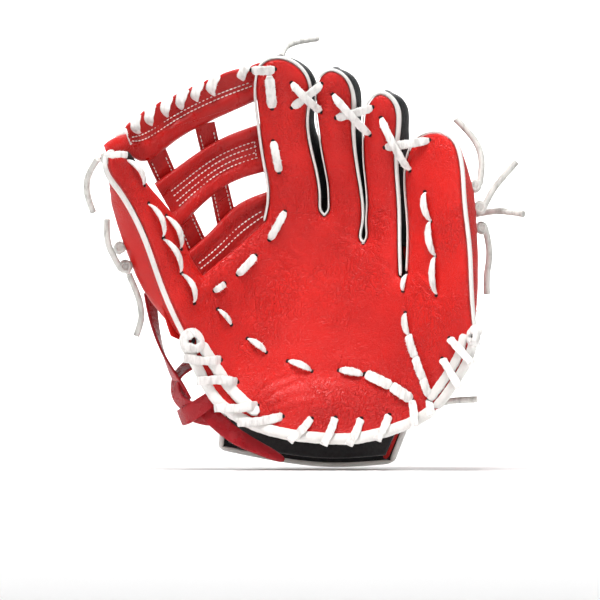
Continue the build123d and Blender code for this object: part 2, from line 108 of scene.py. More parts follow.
# Stitches: (hole, hole, width, sideways bow, leaf). A leaf narrows towards both of its ends.
STITCHES = {
    "palm_web_lace": [((-17.5, 152.6), (-28.3, 133), 5.4, 0, 0), ((-38, 122), (-50.5, 108.8), 5.6, 0, 0),
        ((-59.5, 102.5), (-66.5, 97.5), 4.6, 0, 0)],
    "pocket_lace": [((-64, 84.5), (-55, 73.9), 3.6, 0.6, 1), ((-43.4, 64), (-30.8, 54.6), 4.7, 0.8, 1),
        ((-15.4, 48.4), (1, 41.6), 4.9, 0.8, 1), ((20.3, 42), (36.6, 39), 5.6, 0.5, 0.6)],
    "corner_lace": [((38.5, 39.6), (57, 31), 7.2, 0, 0), ((56.5, 31.4), (70.5, 22), 7.6, 0, 0)],
    "pinky_hinge_lace": [((67.4, 109), (64.6, 97.4), 3.8, -0.5, 1), ((66.2, 82), (68.6, 66.5), 5.0, -0.8, 0.8),
        ((68.6, 67), (73.4, 51), 6.2, 0, 0),
        ((73.2, 52), (79.4, 35), 6.4, 0, 0), ((78.6, 37), (83.4, 24), 6.2, 0, 0)],
    "index_lace": [((-40.5, 250.4), (-24.5, 250.8), 6.6, 0, 0), ((-28.3, 246.6), (-26.2, 224), 6.8, 0, 0),
        ((-25.6, 201.4), (-21.4, 180), 5.6, 0, 0)],
    "thumb_lace": [((-125.6, 187.2), (-114.6, 170.2), 4.6, 2.6, 0.7), ((-111.3, 157.4), (-101.3, 134.6), 4.3, 2.9, 1),
        ((-101.4, 133.4), (-89.4, 109.8), 4.5, 2.9, 1), ((-88.8, 109.2), (-80.4, 89), 4.3, 2.9, 1)],
    "pinky_lace": [((79.6, 165.8), (83.6, 145.6), 5.4, -1.7, 0.9), ((82.9, 146), (86.6, 121.4), 5.6, -1.7, 0.9),
        ((86.4, 121.6), (87.4, 94.6), 5.2, -1.5, 0.9)],
}
THUMB_WEB_LACE = [((-99.5, 149), (-89.5, 126.5), 4.6, 3.0, 1)]
TIP_LACES = {
    "index_middle_tip_lace": [((8.1, 240.8), (-12.6, 224.7)), ((-12.8, 241.5), (7.7, 221.9))],
    "middle_ring_tip_lace": [((43.4, 224.7), (18, 217.5)), ((15.8, 233.6), (41.7, 205.8))],
    "ring_pinky_tip_lace": [((82.6, 201.6), (51.8, 197)), ((49.2, 217.5), (69.3, 180.9))],
}
HEEL_TURNS = [((-62, 49.5), (-86.2, 50.6)), ((-50.6, 34), (-77, 34.6)), ((-36.5, 18), (-65, 16.2)),
    ((-19, 10.3), (-49, 6)), ((1, 9), (-13.4, -5.9)), ((17.5, 9.4), (10, -8.2)), ((35.5, 8.8), (27.5, -8.4)),
    ((55, 11.4), (47, -5)), ((70.5, 22), (72.2, 4.6)), ((82.5, 22), (83.6, 12.0))]
PINKY_TURNS = [((91.4, 50.5), (102, 32)), ((96.2, 64.6), (110.6, 48.2))]
KNOTS = {"thumb_heel_knot": ((-81.2, 62.5), 5.6, 3.3), "pinky_heel_knot": ((112.2, 66), 4.4, 2.7)}

# Each finger back: lines of its sides, lower end, greatest swell, half width it swells over, lean, and side share.
STALLS = {
    "index": dict(edge=INDEX_EDGE[:-2], foot=[(8.5, 149), (9, 112), (-28, 112), (-29.5, 130)], swell=25, over=16,
        lean=(12.5, 2.5)),
    "middle": dict(edge=MIDDLE_EDGE[2:-2], foot=[(35.6, 112), (11.5, 112), (12, 135)], swell=25, over=13,
        lean=(14, 2.5)),
    "ring": dict(edge=RING_EDGE[3:-1], foot=[(61, 104), (39, 108), (40, 130)], swell=24, over=12, lean=(16.5, 2)),
    "pinky": dict(edge=PINKY_EDGE[1:], foot=[(111.5, 66), (86, 64), (71, 104)], swell=23, over=17, lean=(0, 0),
        share=0.55,
        flank=[(115.5, 66), (117, 91), (117.6, 122), (116.9, 150), (114.9, 167), (109.7, 184),
        (103.4, 202), (97, 208)]),
    "thumb": dict(edge=THUMB_EDGE[:-2], foot=[(-82, 113), (-79.5, 64)], swell=24, over=13, lean=(0, 0), share=1.0,
        flank=[(-97, 61), (-107, 77), (-115, 91), (-122.8, 108), (-129.7, 126), (-135.8, 143),
        (-140.2, 157),
        (-141.2, 168), (-138, 177), (-134, 184), (-128, 192)]),
}
TAILS = {
    "index_tip_tail": [(-20, -36, 258.5), (-19, -30, 266), (-13, -22, 270), (-4, -14, 272.5), (5, -5, 274)],
    "pinky_upper_tail": [(117.5, -44, 171), (119.5, -41, 182), (118.5, -38, 195), (111.5, -36, 207), (101, -36, 217)],
    "pinky_side_tail": [(121, -44, 156), (125, -43, 165), (133, -42, 175.5), (143.5, -42, 187)],
    "pinky_cross_tail": [(112, -20, 150), (121, -27, 152), (131, -34, 153), (140, -41, 152), (148, -48, 150.5)],
    "pinky_lower_tail": [(121.5, -42, 141), (124.5, -40, 130), (124.5, -38, 118), (122.5, -36, 107), (123, -35, 95)],
    "heel_tail": [(80, -33, 17), (89, -35, 19), (100, -38, 21.5), (116, -42, 22)],
    "thumb_tip_tail": [(-146, -90, 188), (-151, -84, 181), (-154.5, -77, 172), (-153.5, -70, 161), (-150, -64, 152)],
    "thumb_side_tail": [(-131, -46, 112), (-137, -45, 122), (-141.5, -43, 133), (-141, -41, 147)],
    "thumb_lower_tail": [(-126, -40, 109), (-121, -38, 98), (-117.5, -36, 86.5), (-117, -35, 76), (-121, -34, 66)],
}
TAIL_WIDTH = 4.6

# Creases in the hide: (start, end, width, depth).
CREASES = [
    ((-6, 40.5), (-25, 34.5), 1.5, 0.7), ((-25, 34.5), (-36, 26.5), 1.6, 0.8), ((-36, 26.5), (-39, 19), 1.3, 0.7),
    ((-3, 35), (-22, 28), 1.6, 0.6), ((-22, 28), (-33, 20), 1.4, 0.7), ((9, 27), (-14, 23), 1.8, 0.6),
    ((-14, 23), (-31, 14.5), 1.5, 0.7), ((13.5, 20), (-4, 18), 1.4, 0.5), ((-4, 18), (-20, 12), 1.3, 0.6),
    ((30, 17), (12, 14.5), 1.3, 0.4), ((40, 22), (20, 21), 1.8, 0.4), ((62, 17), (48, 21), 1.4, 0.5),
    ((58, 46), (61, 34), 1.4, 0.4), ((53, 49), (55, 36), 1.2, 0.4), ((64, 60), (60, 48), 1.4, 0.4),
    ((-63, 95), (-60, 78), 1.3, 0.5), ((-68, 92), (-66.5, 74), 1.2, 0.5), ((-73, 90), (-72, 72), 1.2, 0.4),
    ((-58, 100), (-52, 86), 1.3, 0.4), ((-88, 100), (-82, 84), 1.4, 0.4), ((-91, 92), (-86, 80), 1.3, 0.4),
    ((-24, 131), (-9, 118), 1.3, 0.5), ((-17, 134), (-1, 121), 1.3, 0.5), ((-30, 126), (-17, 112), 1.4, 0.5),
    ((-10, 137), (4, 129), 1.2, 0.4), ((-42, 117), (-34, 104), 1.4, 0.4), ((14, 142), (29, 134), 1.4, 0.6),
    ((13, 147), (26, 142), 1.2, 0.4), ((16, 186), (29, 184), 1.3, 0.5), ((15, 181), (27, 180), 1.1, 0.4),
    ((43, 158), (55, 148), 1.4, 0.5), ((42, 150), (54, 141), 1.3, 0.5), ((42, 166), (52, 160), 1.2, 0.3),
    ((44, 122), (58, 110), 1.4, 0.4), ((24, 122), (36, 112), 1.4, 0.4), ((70, 132), (80, 122), 1.4, 0.4),
    ((72, 116), (86, 100), 1.5, 0.5), ((75, 104), (92, 86), 1.5, 0.5), ((80, 90), (98, 74), 1.5, 0.4),
    ((68, 98), (78, 84), 1.3, 0.4), ((96, 176), (86, 172), 1.5, 0.3), ((-20, 215), (-8, 213), 1.4, 0.2),
]

# Broad swells and hollows of the palm: centre, reach either way, and how far they go in (less than 0 is out).
SWELLS = [((8, 21), (34, 9.5), -2.6), ((4, 40), (46, 7.5), 1.3)]
# A lace's section power, its points round, and the share of its run in which it dives into its hole.
LACE_POWER, LACE_SIDES, LACE_ENTRY = 3.6, 14, 0.14
LACE_SINK = 1.7
STALL_LEATHER, STALL_GAP, STALL_LINING = 1.7, 0.2, 0.9
TO_VIEWER = (0.0, -1.0, 0.0)


def spline(points, step=1.5):
    """A smooth line through points, as a dense polyline."""
    p = np.array(points, float)
    gaps = np.linalg.norm(np.diff(p, axis=0), axis=1)
    t = np.concatenate([[0.0], np.cumsum(gaps)])
    s = np.linspace(0, t[-1], max(2, int(round(t[-1] / step)) + 1))
    n = len(p)
    if n == 2:
        return p[0] + (p[1] - p[0]) * (s / t[-1])[:, None]
    a, r = np.eye(n), np.zeros_like(p)
    for i in range(1, n - 1):
        a[i, i - 1 : i + 2] = gaps[i - 1], 2 * (gaps[i - 1] + gaps[i]), gaps[i]
        r[i] = 6 * ((p[i + 1] - p[i]) / gaps[i] - (p[i] - p[i - 1]) / gaps[i - 1])
    m = np.linalg.solve(a, r)
    i = np.clip(np.searchsorted(t, s, side="right") - 1, 0, n - 2)
    h, u, v = gaps[i][:, None], (t[i + 1] - s)[:, None], (s - t[i])[:, None]
    curved = (m[i] * u**3 + m[i + 1] * v**3) / (6 * h)
    return curved + (p[i] / h - m[i] * h / 6) * u + (p[i + 1] / h - m[i + 1] * h / 6) * v


def even(line, count):
    """A polyline divided into count evenly spaced points."""
    t = np.concatenate([[0.0], np.cumsum(np.linalg.norm(np.diff(line, axis=0), axis=1))])
    s = np.linspace(0, t[-1], count)
    return np.stack([np.interp(s, t, line[:, k]) for k in range(line.shape[1])], 1)


def length(line):
    return np.linalg.norm(np.diff(line, axis=0), axis=1).sum()


def closed(*lines, step=1.5):
    """One closed outline from smooth sides, with straight bridges between them."""
    out = []
    for line in lines:
        for p in line:
            if not out or np.linalg.norm(p - out[-1]) > 0.25 * step:
                if out and np.linalg.norm(p - out[-1]) > 1.8 * step:
                    out.extend(spline([out[-1], p], step)[1:-1])
                out.append(p)
    gap = np.linalg.norm(out[0] - out[-1])
    if gap > 1.8 * step:
        out.extend(spline([out[-1], out[0]], step)[1:-1])
    elif gap < 0.25 * step:
        out.pop()
    return np.array(out)


def outlined(*sides):
    """A closed outline from the points of its smooth sides."""
    return closed(*[spline(side) for side in sides])


def unit(v):
    return v / np.maximum(np.linalg.norm(v, axis=-1, keepdims=True), 1e-9)


def shifted(line, out):
    """A line moved to its left, by one distance or by one at each point."""
    ahead = unit(np.gradient(line, axis=0))
    return line + np.stack([-ahead[:, 1], ahead[:, 0]], 1) * np.reshape(out, (-1, 1))


def quarter_round(t):
    """The height of a rounded edge at shares of its width."""
    return np.sqrt(np.clip(1 - (1 - np.clip(t, 0, 1)) ** 2, 0, 1))


def tube_faces(rows, around):
    return [(i * around + k, i * around + (k + 1) % around, (i + 1) * around + (k + 1) % around, (i + 1) * around + k)
        for i in range(rows - 1) for k in range(around)]


def smoothstep(low, high, v):
    t = np.clip((v - low) / (high - low), 0, 1)
    return t * t * (3 - 2 * t)


def pocket_y(x, z):
    side, rise = x - POCKET[0], z - POCKET[2]
    lip, reach = np.where(side > 0, PINKY_LIP, THUMB_LIP), np.where(side > 0, PINKY_REACH, THUMB_REACH)
    end, far = np.where(rise > 0, TIP_LIP, HEEL_LIP), np.where(rise > 0, TIP_REACH, HEEL_REACH)
    return POCKET[1] - np.hypot(lip * (np.abs(side) / reach) ** SIDE_POWER, end * (rise / far) ** 2)


def back_y(x, z):
    side = np.abs(x - BACK_X)
    near = np.minimum(side, BACK_TURN)
    wrap = BACK_WRAP * (near / BACK_REACH) ** BACK_POWER + BACK_SLOPE * (side - near)
    return BACK_Y - wrap - BACK_RISE * (z / BACK_TOP) ** 2


def normals(surface, x, z):
    """Unit directions that point behind a surface."""
    n = np.stack([surface(x - 0.5, z) - surface(x + 0.5, z), np.ones_like(x),
            surface(x, z - 0.5) - surface(x, z + 0.5)], 1)
    return unit(n)


def lifted(p, depth, surface=pocket_y):
    """The points of the sheet that lies depth behind a surface, at the same place in the front view."""
    x, z = p[:, 0], p[:, 1]
    return np.stack([x, surface(x, z) + np.ravel(depth) / normals(surface, x, z)[:, 1], z], 1)


def nearest(p, lines):
    """Distance from each point to a set of polylines, and the nearest place on them."""
    a = np.concatenate([line[:-1] for line in lines])
    d = np.concatenate([line[1:] for line in lines]) - a
    dd = np.maximum((d * d).sum(1), 1e-9)
    gap, place = np.empty(len(p)), np.empty((len(p), 2))
    for k in range(0, len(p), 1500):
        q = p[k : k + 1500, None] - a
        t = np.clip((q * d).sum(2) / dd, 0, 1)
        away = ((q - t[..., None] * d) ** 2).sum(2)
        i = away.argmin(1)
        row = np.arange(len(i))
        gap[k : k + 1500] = np.sqrt(away[row, i])
        place[k : k + 1500] = a[i] + d[i] * t[row, i][:, None]
    return gap, place


def inside(p, outline):
    """Which points lie inside a closed outline."""
    a, b = outline, np.roll(outline, -1, 0)
    found = np.empty(len(p), bool)
    for k in range(0, len(p), 2000):
        x, z = p[k : k + 2000, 0, None], p[k : k + 2000, 1, None]
        edge_x = (b[:, 0] - a[:, 0]) * (z - a[:, 1]) / (b[:, 1] - a[:, 1] + 1e-12) + a[:, 0]
        crosses = ((a[:, 1] > z) != (b[:, 1] > z)) & (x < edge_x)
        found[k : k + 2000] = crosses.sum(1) % 2 == 1
    return found


def fill(outline, pitch, rings):
    """Triangles that fill an outline, with rows of points close to its edge."""
    ahead = np.roll(outline, -1, 0) - np.roll(outline, 1, 0)
    inward = unit(np.stack([-ahead[:, 1], ahead[:, 0]], 1))
    x, z = outline.T
    if (x * np.roll(z, -1) - z * np.roll(x, -1)).sum() < 0:
        inward = -inward
    border = np.concatenate([outline, outline[:1]])
    kept = [outline]
    for r in rings:
        ring = outline + inward * r
        ok = (nearest(ring, [border])[0] > 0.95 * r) & inside(ring, outline)
        kept.append(ring[ok])
    low, high = outline.min(0), outline.max(0)
    rows = np.arange(low[1], high[1], pitch * 0.87)
    grid = []
    for k, level in enumerate(rows):
        across = np.arange(low[0] + pitch * 0.5 * (k % 2), high[0], pitch)
        grid.append(np.stack([across, np.full_like(across, level)], 1))
    grid = np.concatenate(grid)
    last = rings[-1] if rings else 0
    grid = grid[inside(grid, outline)]
    grid = grid[nearest(grid, [border])[0] > last + 0.55 * pitch]
    points = np.concatenate([*kept, grid])
    n = len(outline)
    out = delaunay_2d_cdt([Vector(p) for p in points], [(i, (i + 1) % n) for i in range(n)], [], 1, 1e-5)
    return np.array([v[:] for v in out[0]]), np.array([f[:] for f in out[2]])


def rim_of(triangles):
    """Directed edges that only one triangle has."""
    edges = {}
    for t in triangles:
        for i, j in ((t[0], t[1]), (t[1], t[2]), (t[2], t[0])):
            edges[(i, j)] = edges.get((i, j), 0) + 1
    return [(i, j) for i, j in edges if (j, i) not in edges]


def closed_sheet(front, back, triangles):
    """A closed skin from the same triangles in front and behind, joined round their rim."""
    n = len(front)
    faces = [tuple(t) for t in triangles] + [tuple(t[::-1] + n) for t in triangles]
    faces += [(j, i, i + n, j + n) for i, j in rim_of(triangles)]
    return np.concatenate([front, back]), faces


def vertex_normals(points, triangles):
    a, b, c = (points[triangles[:, k]] for k in range(3))
    face = np.cross(b - a, c - a)
    n = np.zeros_like(points)
    for k in range(3):
        np.add.at(n, triangles[:, k], face)
    return unit(n)


def joined(parts):
    """Several skins as one."""
    points, faces, start = [], [], 0
    for p, f in parts:
        points.append(p)
        faces.extend(tuple(int(i) + start for i in face) for face in f)
        start += len(p)
    return np.concatenate(points), faces


def sweep(path, ups, wide, high, sides=12, power=2.6, round_ends=True):
    """A closed strand of rounded section along a path. wide and high are its half sizes at each point."""
    n = len(path)
    wide, high = np.broadcast_to(wide, n).astype(float).copy(), np.broadcast_to(high, n).astype(float).copy()
    ahead = unit(np.gradient(path, axis=0))
    side = unit(np.cross(ahead, ups))
    up = np.cross(side, ahead)
    if round_ends:
        for k, share in enumerate((0.45, 0.82)):
            for i in (k, n - 1 - k):
                wide[i] *= share
                high[i] *= 0.5 + share / 2
    angle = np.arange(sides) * 2 * math.pi / sides
    c, s = np.cos(angle), np.sin(angle)
    c, s = np.sign(c) * np.abs(c) ** (2 / power), np.sign(s) * np.abs(s) ** (2 / power)
    rings = path[:, None] + side[:, None] * (wide[:, None] * c)[..., None] + up[:,
        None] * (high[:, None] * s)[..., None]
    faces = tube_faces(n, sides)
    faces += [tuple(range(sides))[::-1], tuple((n - 1) * sides + k for k in range(sides))]
    return rings.reshape(-1, 3), faces


def fibres(strand, sides, count, reach=1.3):
    """Loose fibres that stand off the edges of a strand."""
    points = strand[0].reshape(-1, sides, 3)
    parts = []
    for _ in range(count):
        i, k = int(rng.integers(2, len(points) - 2)), int(rng.choice([0, 1, sides // 2, sides - 1, sides // 2 - 1]))
        root, core = points[i, k], points[i].mean(0)
        out = root - core
        out = out / max(np.linalg.norm(out), 1e-6) + rng.normal(0, 0.45, 3)
        tip = root + out / np.linalg.norm(out) * rng.uniform(0.4, 1.0) * reach
        across = np.cross(out, rng.normal(0, 1, 3))
        across = across / np.linalg.norm(across) * 0.13
        third = np.cross(across, out / np.linalg.norm(out))
        parts.append((np.array([root + across, root - across, root + third, tip]),
                [(0, 2, 1), (0, 1, 3), (1, 2, 3), (2, 0, 3)]))
    return parts


def disc(centre, up, wide, high, thick=0.5, turn=None, sides=14):
    """A flat round lens, such as the painted shade in the mouth of a lace hole."""
    along = unit(np.cross(up, turn if turn is not None else (0.3, 0.2, 1.0)))
    other = np.cross(up, along)
    a = np.arange(sides) * 2 * math.pi / sides
    rings = []
    for share, lift in ((1.0, 0.0), (0.75, 0.7), (0.75, -0.7)):
        ring = np.outer(np.cos(a) * wide, along) + np.outer(np.sin(a) * high, other)
        rings.append(centre + share * ring + up * lift * thick)
    faces = [tuple(range(sides, 2 * sides)), tuple(range(2 * sides, 3 * sides))[::-1]]
    for k in range(sides):
        j = (k + 1) % sides
        faces += [(k, j, sides + j, sides + k), (j, k, 2 * sides + k, 2 * sides + j)]
    return np.concatenate(rings), faces


def add_object(name, data):
    obj = bpy.data.objects.new(name, data)
    bpy.context.scene.collection.objects.link(obj)
    return obj


def piece(name, skin, material, body=None, blend=None, nodes=(), smooth=60):
    """A closed mesh in the frame, finished and riding its body; a piece given a fold is only baked into the frame."""
    points, faces = skin
    mesh = bpy.data.meshes.new(name)
    mesh.from_pydata((np.asarray(points) * MM).tolist(), [], [tuple(int(i) for i in f) for f in faces])
    work = bmesh.new()
    work.from_mesh(mesh)
    bmesh.ops.recalc_face_normals(work, faces=work.faces)
    work.to_mesh(mesh)
    work.free()
    mesh.polygons.foreach_set("use_smooth", [True] * len(mesh.polygons))
    mesh.set_sharp_from_angle(angle=math.radians(smooth))
    mesh.materials.append(material)
    obj = add_object(name, mesh)
    if blend:
        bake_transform(obj)
    else:
        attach(obj, body)
    if nodes:
        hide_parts(*nodes)
    return obj


# Materials.


def shader(name, rough, specular=0.5):
    """A new material with its node tree, its surface and object coordinates."""
    mat = bpy.data.materials.new(name)
    mat.use_nodes = True
    tree = mat.node_tree
    surface = tree.nodes["Principled BSDF"]
    surface.inputs["Roughness"].default_value = rough
    surface.inputs["Specular IOR Level"].default_value = specular
    place = tree.nodes.new("ShaderNodeTexCoord").outputs["Object"]
    return mat, tree, surface, place


def put(tree, kind, inputs=None, **settings):
    """A node with its settings and its inputs, each a value or another node's output."""
    node = tree.nodes.new(kind)
    for key, value in settings.items():
        setattr(node, key, value)
    for key, value in (inputs or {}).items():
        if isinstance(value, bpy.types.NodeSocket):
            tree.links.new(value, node.inputs[key])
        else:
            node.inputs[key].default_value = value
    return node


def noise(tree, place, scale, detail=3.0, roughness=0.55, stretch=None, distortion=0.0):
    if stretch:
        place = put(tree, "ShaderNodeMapping", {"Vector": place, "Scale": stretch}).outputs[0]
    return put(tree, "ShaderNodeTexNoise", {"Vector": place, "Scale": scale, "Detail": detail,
            "Roughness": roughness, "Distortion": distortion}).outputs["Fac"]


def ranged(tree, value, a, b, c=0.0, d=1.0):
    return put(tree, "ShaderNodeMapRange", {"Value": value, "From Min": a, "From Max": b, "To Min": c,
            "To Max": d}).outputs["Result"]


def mixed(tree, share, a, b, mode="MIX"):
    node = put(tree, "ShaderNodeMix", data_type="RGBA", blend_type=mode)
    for key, value in (("Factor", share), ("A", a), ("B", b)):
        socket = next(s for s in node.inputs if s.name == key and s.type == ("VALUE" if key == "Factor" else "RGBA"))
        if isinstance(value, bpy.types.NodeSocket):
            tree.links.new(value, socket)
        else:
            socket.default_value = value
    return next(s for s in node.outputs if s.type == "RGBA")


def maths(tree, operation, a, b):
    return put(tree, "ShaderNodeMath", {0: a, 1: b}, operation=operation).outputs[0]


def bumped(tree, surface, heights):
    """Chains bumps, each a height, a strength and a distance in metres."""
    normal = None
    for height, strength, distance in heights:
        inputs = {"Height": height, "Strength": strength, "Distance": distance}
        if normal is not None:
            inputs["Normal"] = normal
        normal = put(tree, "ShaderNodeBump", inputs).outputs["Normal"]
    tree.links.new(normal, surface.inputs["Normal"])


def leather(name, base, deep, pale, rough=0.42, wrinkle=0.55, pebble=0.35, cells=620.0, stretch=(1.0, 1.0, 0.36),
    coat=0.0):
    """Dyed hide: fine cells, wavy wrinkles that come and go, slow changes of colour, and painted shade in the wrinkle
    valleys.
    """
    mat, tree, surface, place = shader(name, rough)
    patch = ranged(tree, noise(tree, place, 22.0, 2.0), 0.42, 0.62)
    swirl = put(tree, "ShaderNodeTexNoise", {"Vector": place, "Scale": 90.0, "Detail": 2.0}).outputs["Color"]
    warp = put(tree, "ShaderNodeVectorMath", {0: swirl, "Scale": 0.0035}, operation="SCALE").outputs[0]
    moved = put(tree, "ShaderNodeVectorMath", {0: place, 1: warp}, operation="ADD").outputs[0]
    folds = noise(tree, moved, 430.0, 2.0, 0.5, stretch)
    fold = put(tree, "ShaderNodeMath", {0: maths(tree, "SUBTRACT", folds, 0.5)}, operation="ABSOLUTE").outputs[0]
    valley = ranged(tree, fold, 0.0, 0.09)
    cell = put(tree, "ShaderNodeTexVoronoi", {"Vector": moved, "Scale": cells},
        feature="DISTANCE_TO_EDGE").outputs["Distance"]
    grain = ranged(tree, cell, 0.0, 0.16)
    pores = noise(tree, place, 2600.0, 1.0)
    colour = mixed(tree, ranged(tree, noise(tree, place, 14.0, 3.0), 0.3, 0.75), base, deep)
    # Painted shade: the wrinkle valleys are darkened towards the deep colour, by up to half within the broad patches.
    shade = maths(tree, "MULTIPLY", maths(tree, "SUBTRACT", 1.0, valley), maths(tree, "MULTIPLY", patch, 0.5))
    colour = mixed(tree, shade, colour, deep)
    colour = mixed(tree, ranged(tree, noise(tree, place, 70.0, 4.0, 0.65), 0.62, 0.85, 0.0, 0.35), colour, pale)
    tree.links.new(colour, surface.inputs["Base Color"])
    tree.links.new(ranged(tree, noise(tree, place, 130.0, 3.0), 0.3, 0.7, rough - 0.05, rough + 0.09),
        surface.inputs["Roughness"])
    surface.inputs["Specular IOR Level"].default_value = 0.28
    surface.inputs["Coat Weight"].default_value = coat
    surface.inputs["Coat Roughness"].default_value = 0.32
    valley = maths(tree, "MULTIPLY", valley, maths(tree, "ADD", maths(tree, "MULTIPLY", patch, 0.75), 0.25))
    bumped(tree, surface, [(pores, 0.12, 0.0001), (grain, pebble, 0.0003), (valley, wrinkle, 0.0007),
            (noise(tree, place, 55.0, 2.0), 0.35, 0.002)])
    return mat


def rawhide(name, base, deep, rough=0.72):
    """Lace leather: pale, matt, with a fibrous nap and soiled hollows."""
    mat, tree, surface, place = shader(name, rough, 0.3)
    nap = noise(tree, place, 900.0, 4.0, 0.7)
    streak = noise(tree, place, 330.0, 3.0, 0.6, (1.0, 1.0, 0.25))
    colour = mixed(tree, ranged(tree, streak, 0.45, 0.8), base, deep)
    colour = mixed(tree, ranged(tree, noise(tree, place, 60.0, 3.0), 0.6, 0.85, 0.0, 0.5), colour, deep)
    tree.links.new(colour, surface.inputs["Base Color"])
    tree.links.new(ranged(tree, nap, 0.3, 0.7, rough - 0.06, rough + 0.12), surface.inputs["Roughness"])
    surface.inputs["Sheen Weight"].default_value = 0.1
    bumped(tree, surface, [(nap, 0.5, 0.0003), (streak, 0.45, 0.0006)])
    return mat


def cloth(name, base, deep, scale, rough=0.9):
    """Felt, fleece and foam: a matt mat of fibres."""
    mat, tree, surface, place = shader(name, rough, 0.15)
    fine, broad = noise(tree, place, scale, 5.0, 0.75), noise(tree, place, scale / 6, 3.0)
    colour = mixed(tree, ranged(tree, fine, 0.3, 0.75), base, deep)
    tree.links.new(colour, surface.inputs["Base Color"])
    surface.inputs["Sheen Weight"].default_value = 0.5
    tree.links.new(ranged(tree, fine, 0.3, 0.7, rough - 0.08, rough + 0.06), surface.inputs["Roughness"])
    bumped(tree, surface, [(fine, 0.8, 0.0006), (broad, 0.5, 0.0015)])
    return mat


RED = leather("red_hide", (0.64, 0.012, 0.008, 1), (0.42, 0.006, 0.005, 1), (0.78, 0.034, 0.020, 1), 0.36, 0.75,
    0.55, 640.0, (0.8, 1.0, 0.6))
RED_SMOOTH = leather("red_hide_smooth", (0.58, 0.010, 0.007, 1), (0.40, 0.005, 0.004, 1), (0.70, 0.028, 0.018, 1),
    0.33, 0.35, 0.3, 800.0)
# The web's hide is the red leather made darker: painted shade for the shaded web.
RED_WEB_SHADED = leather("red_web_hide_shaded", (0.48, 0.007, 0.005, 1), (0.32, 0.004, 0.003, 1), (0.60, 0.020, 0.013, 1), 0.30,
    0.45, 0.3, 700.0)
BLACK = leather("black_hide", (0.006, 0.006, 0.007, 1), (0.003, 0.003, 0.004, 1), (0.014, 0.014, 0.015, 1), 0.46,
    0.5, 0.5, 520.0)
CRIMSON = leather("crimson_hide", (0.34, 0.006, 0.011, 1), (0.23, 0.004, 0.008, 1), (0.42, 0.014, 0.02, 1), 0.26,
    0.3, 0.25, 800.0)
INNER = leather("stall_lining", (0.030, 0.024, 0.022, 1), (0.018, 0.014, 0.013, 1), (0.05, 0.04, 0.036, 1), 0.7, 0.3,
    0.3)
SEAM = rawhide("seam_thread", (0.16, 0.006, 0.008, 1), (0.09, 0.004, 0.005, 1), 0.6)
WHITE = leather("white_hide", (0.80, 0.79, 0.77, 1), (0.62, 0.61, 0.58, 1), (0.88, 0.87, 0.85, 1), 0.46, 0.3, 0.2,
    800.0)
LACE = rawhide("lace_rawhide", (0.75, 0.74, 0.72, 1), (0.44, 0.42, 0.40, 1))
TAIL = rawhide("lace_end_rawhide", (0.60, 0.59, 0.56, 1), (0.30, 0.29, 0.27, 1), 0.8)
THREAD = rawhide("thread", (0.86, 0.84, 0.81, 1), (0.70, 0.67, 0.63, 1), 0.55)
# Painted shade: a near-black hide for the lenses that stand in for the shade inside the lace holes and the knots'
# eyes.
HOLE_SHADE = leather("lace_hole_shade", (0.02, 0.006, 0.006, 1), (0.01, 0.004, 0.004, 1), (0.03, 0.01, 0.01, 1), 0.8, 0.3, 0.3)
LINING = leather("lining_hide", (0.60, 0.50, 0.38, 1), (0.48, 0.39, 0.28, 1), (0.68, 0.58, 0.46, 1), 0.62, 0.35, 0.3,
    700.0)
FELT = cloth("felt_pad", (0.66, 0.64, 0.60, 1), (0.48, 0.46, 0.42, 1), 900.0)
FLEECE = cloth("wrist_fleece", (0.035, 0.035, 0.038, 1), (0.016, 0.016, 0.018, 1), 420.0, 0.95)
PLASTIC = cloth("stay_board", (0.10, 0.10, 0.11, 1), (0.07, 0.07, 0.08, 1), 1500.0, 0.5)

# The hide on the catching side: free edges, their roll, the crown between them, creases and lace holes.
free_edges = [spline(e, 1.2) for e in (INDEX_EDGE, MIDDLE_EDGE, RING_EDGE, SLIT_END, PINKY_EDGE, THUMB_EDGE,
        PALM_WEB_EDGE)]
heel_line = spline(HEEL_EDGE, 1.2)
crease_a, crease_b, crease_w, crease_d = (np.array([c[k] for c in CREASES], float) for k in range(4))
holes = [h for group in [*STITCHES.values(), THUMB_WEB_LACE] for s in group for h in s[:2]]
holes += [h for pair in TIP_LACES.values() for s in pair for h in s]
holes = np.array(holes + [s[0] for s in HEEL_TURNS + PINKY_TURNS], float)


def relief(p):
    """How far the hide is pressed in by creases, wear and its lace holes."""
    d = crease_b - crease_a
    q = p[:, None] - crease_a
    t = np.clip((q * d).sum(2) / (d * d).sum(1), 0, 1)
    along = q - t[..., None] * d
    gap = np.sqrt((along**2).sum(2))
    valley = crease_d * np.exp(-((gap / crease_w) ** 2))
    out = (valley * (0.35 + 0.65 * np.sin(np.pi * np.clip(t, 0.04, 0.96)))).sum(1)
    shoulder = 0.45 * crease_d * np.exp(-(((gap - 2.0 * crease_w) / (1.2 * crease_w)) ** 2))
    out -= (shoulder * np.sin(np.pi * np.clip(t, 0.02, 0.98))).sum(1)
    x, z = p.T
    for (cx, cz), (reach_x, reach_z), deep in SWELLS:
        out += deep * np.exp(-(((x - cx) / reach_x) ** 2) - ((z - cz) / reach_z) ** 2)
    out += 0.5 * np.sin(x / 15 + 1.1 * np.sin(z / 31)) * np.sin(z / 19 + 0.8 * np.sin(x / 27))
    ripple = 0.16 * np.sin(x / 4.1 + 1.6 * np.sin(z / 9.5) + 0.7 * np.sin(z / 23))
    out += ripple * (0.5 + 0.5 * np.sin(z / 28 + x / 33))
    return out


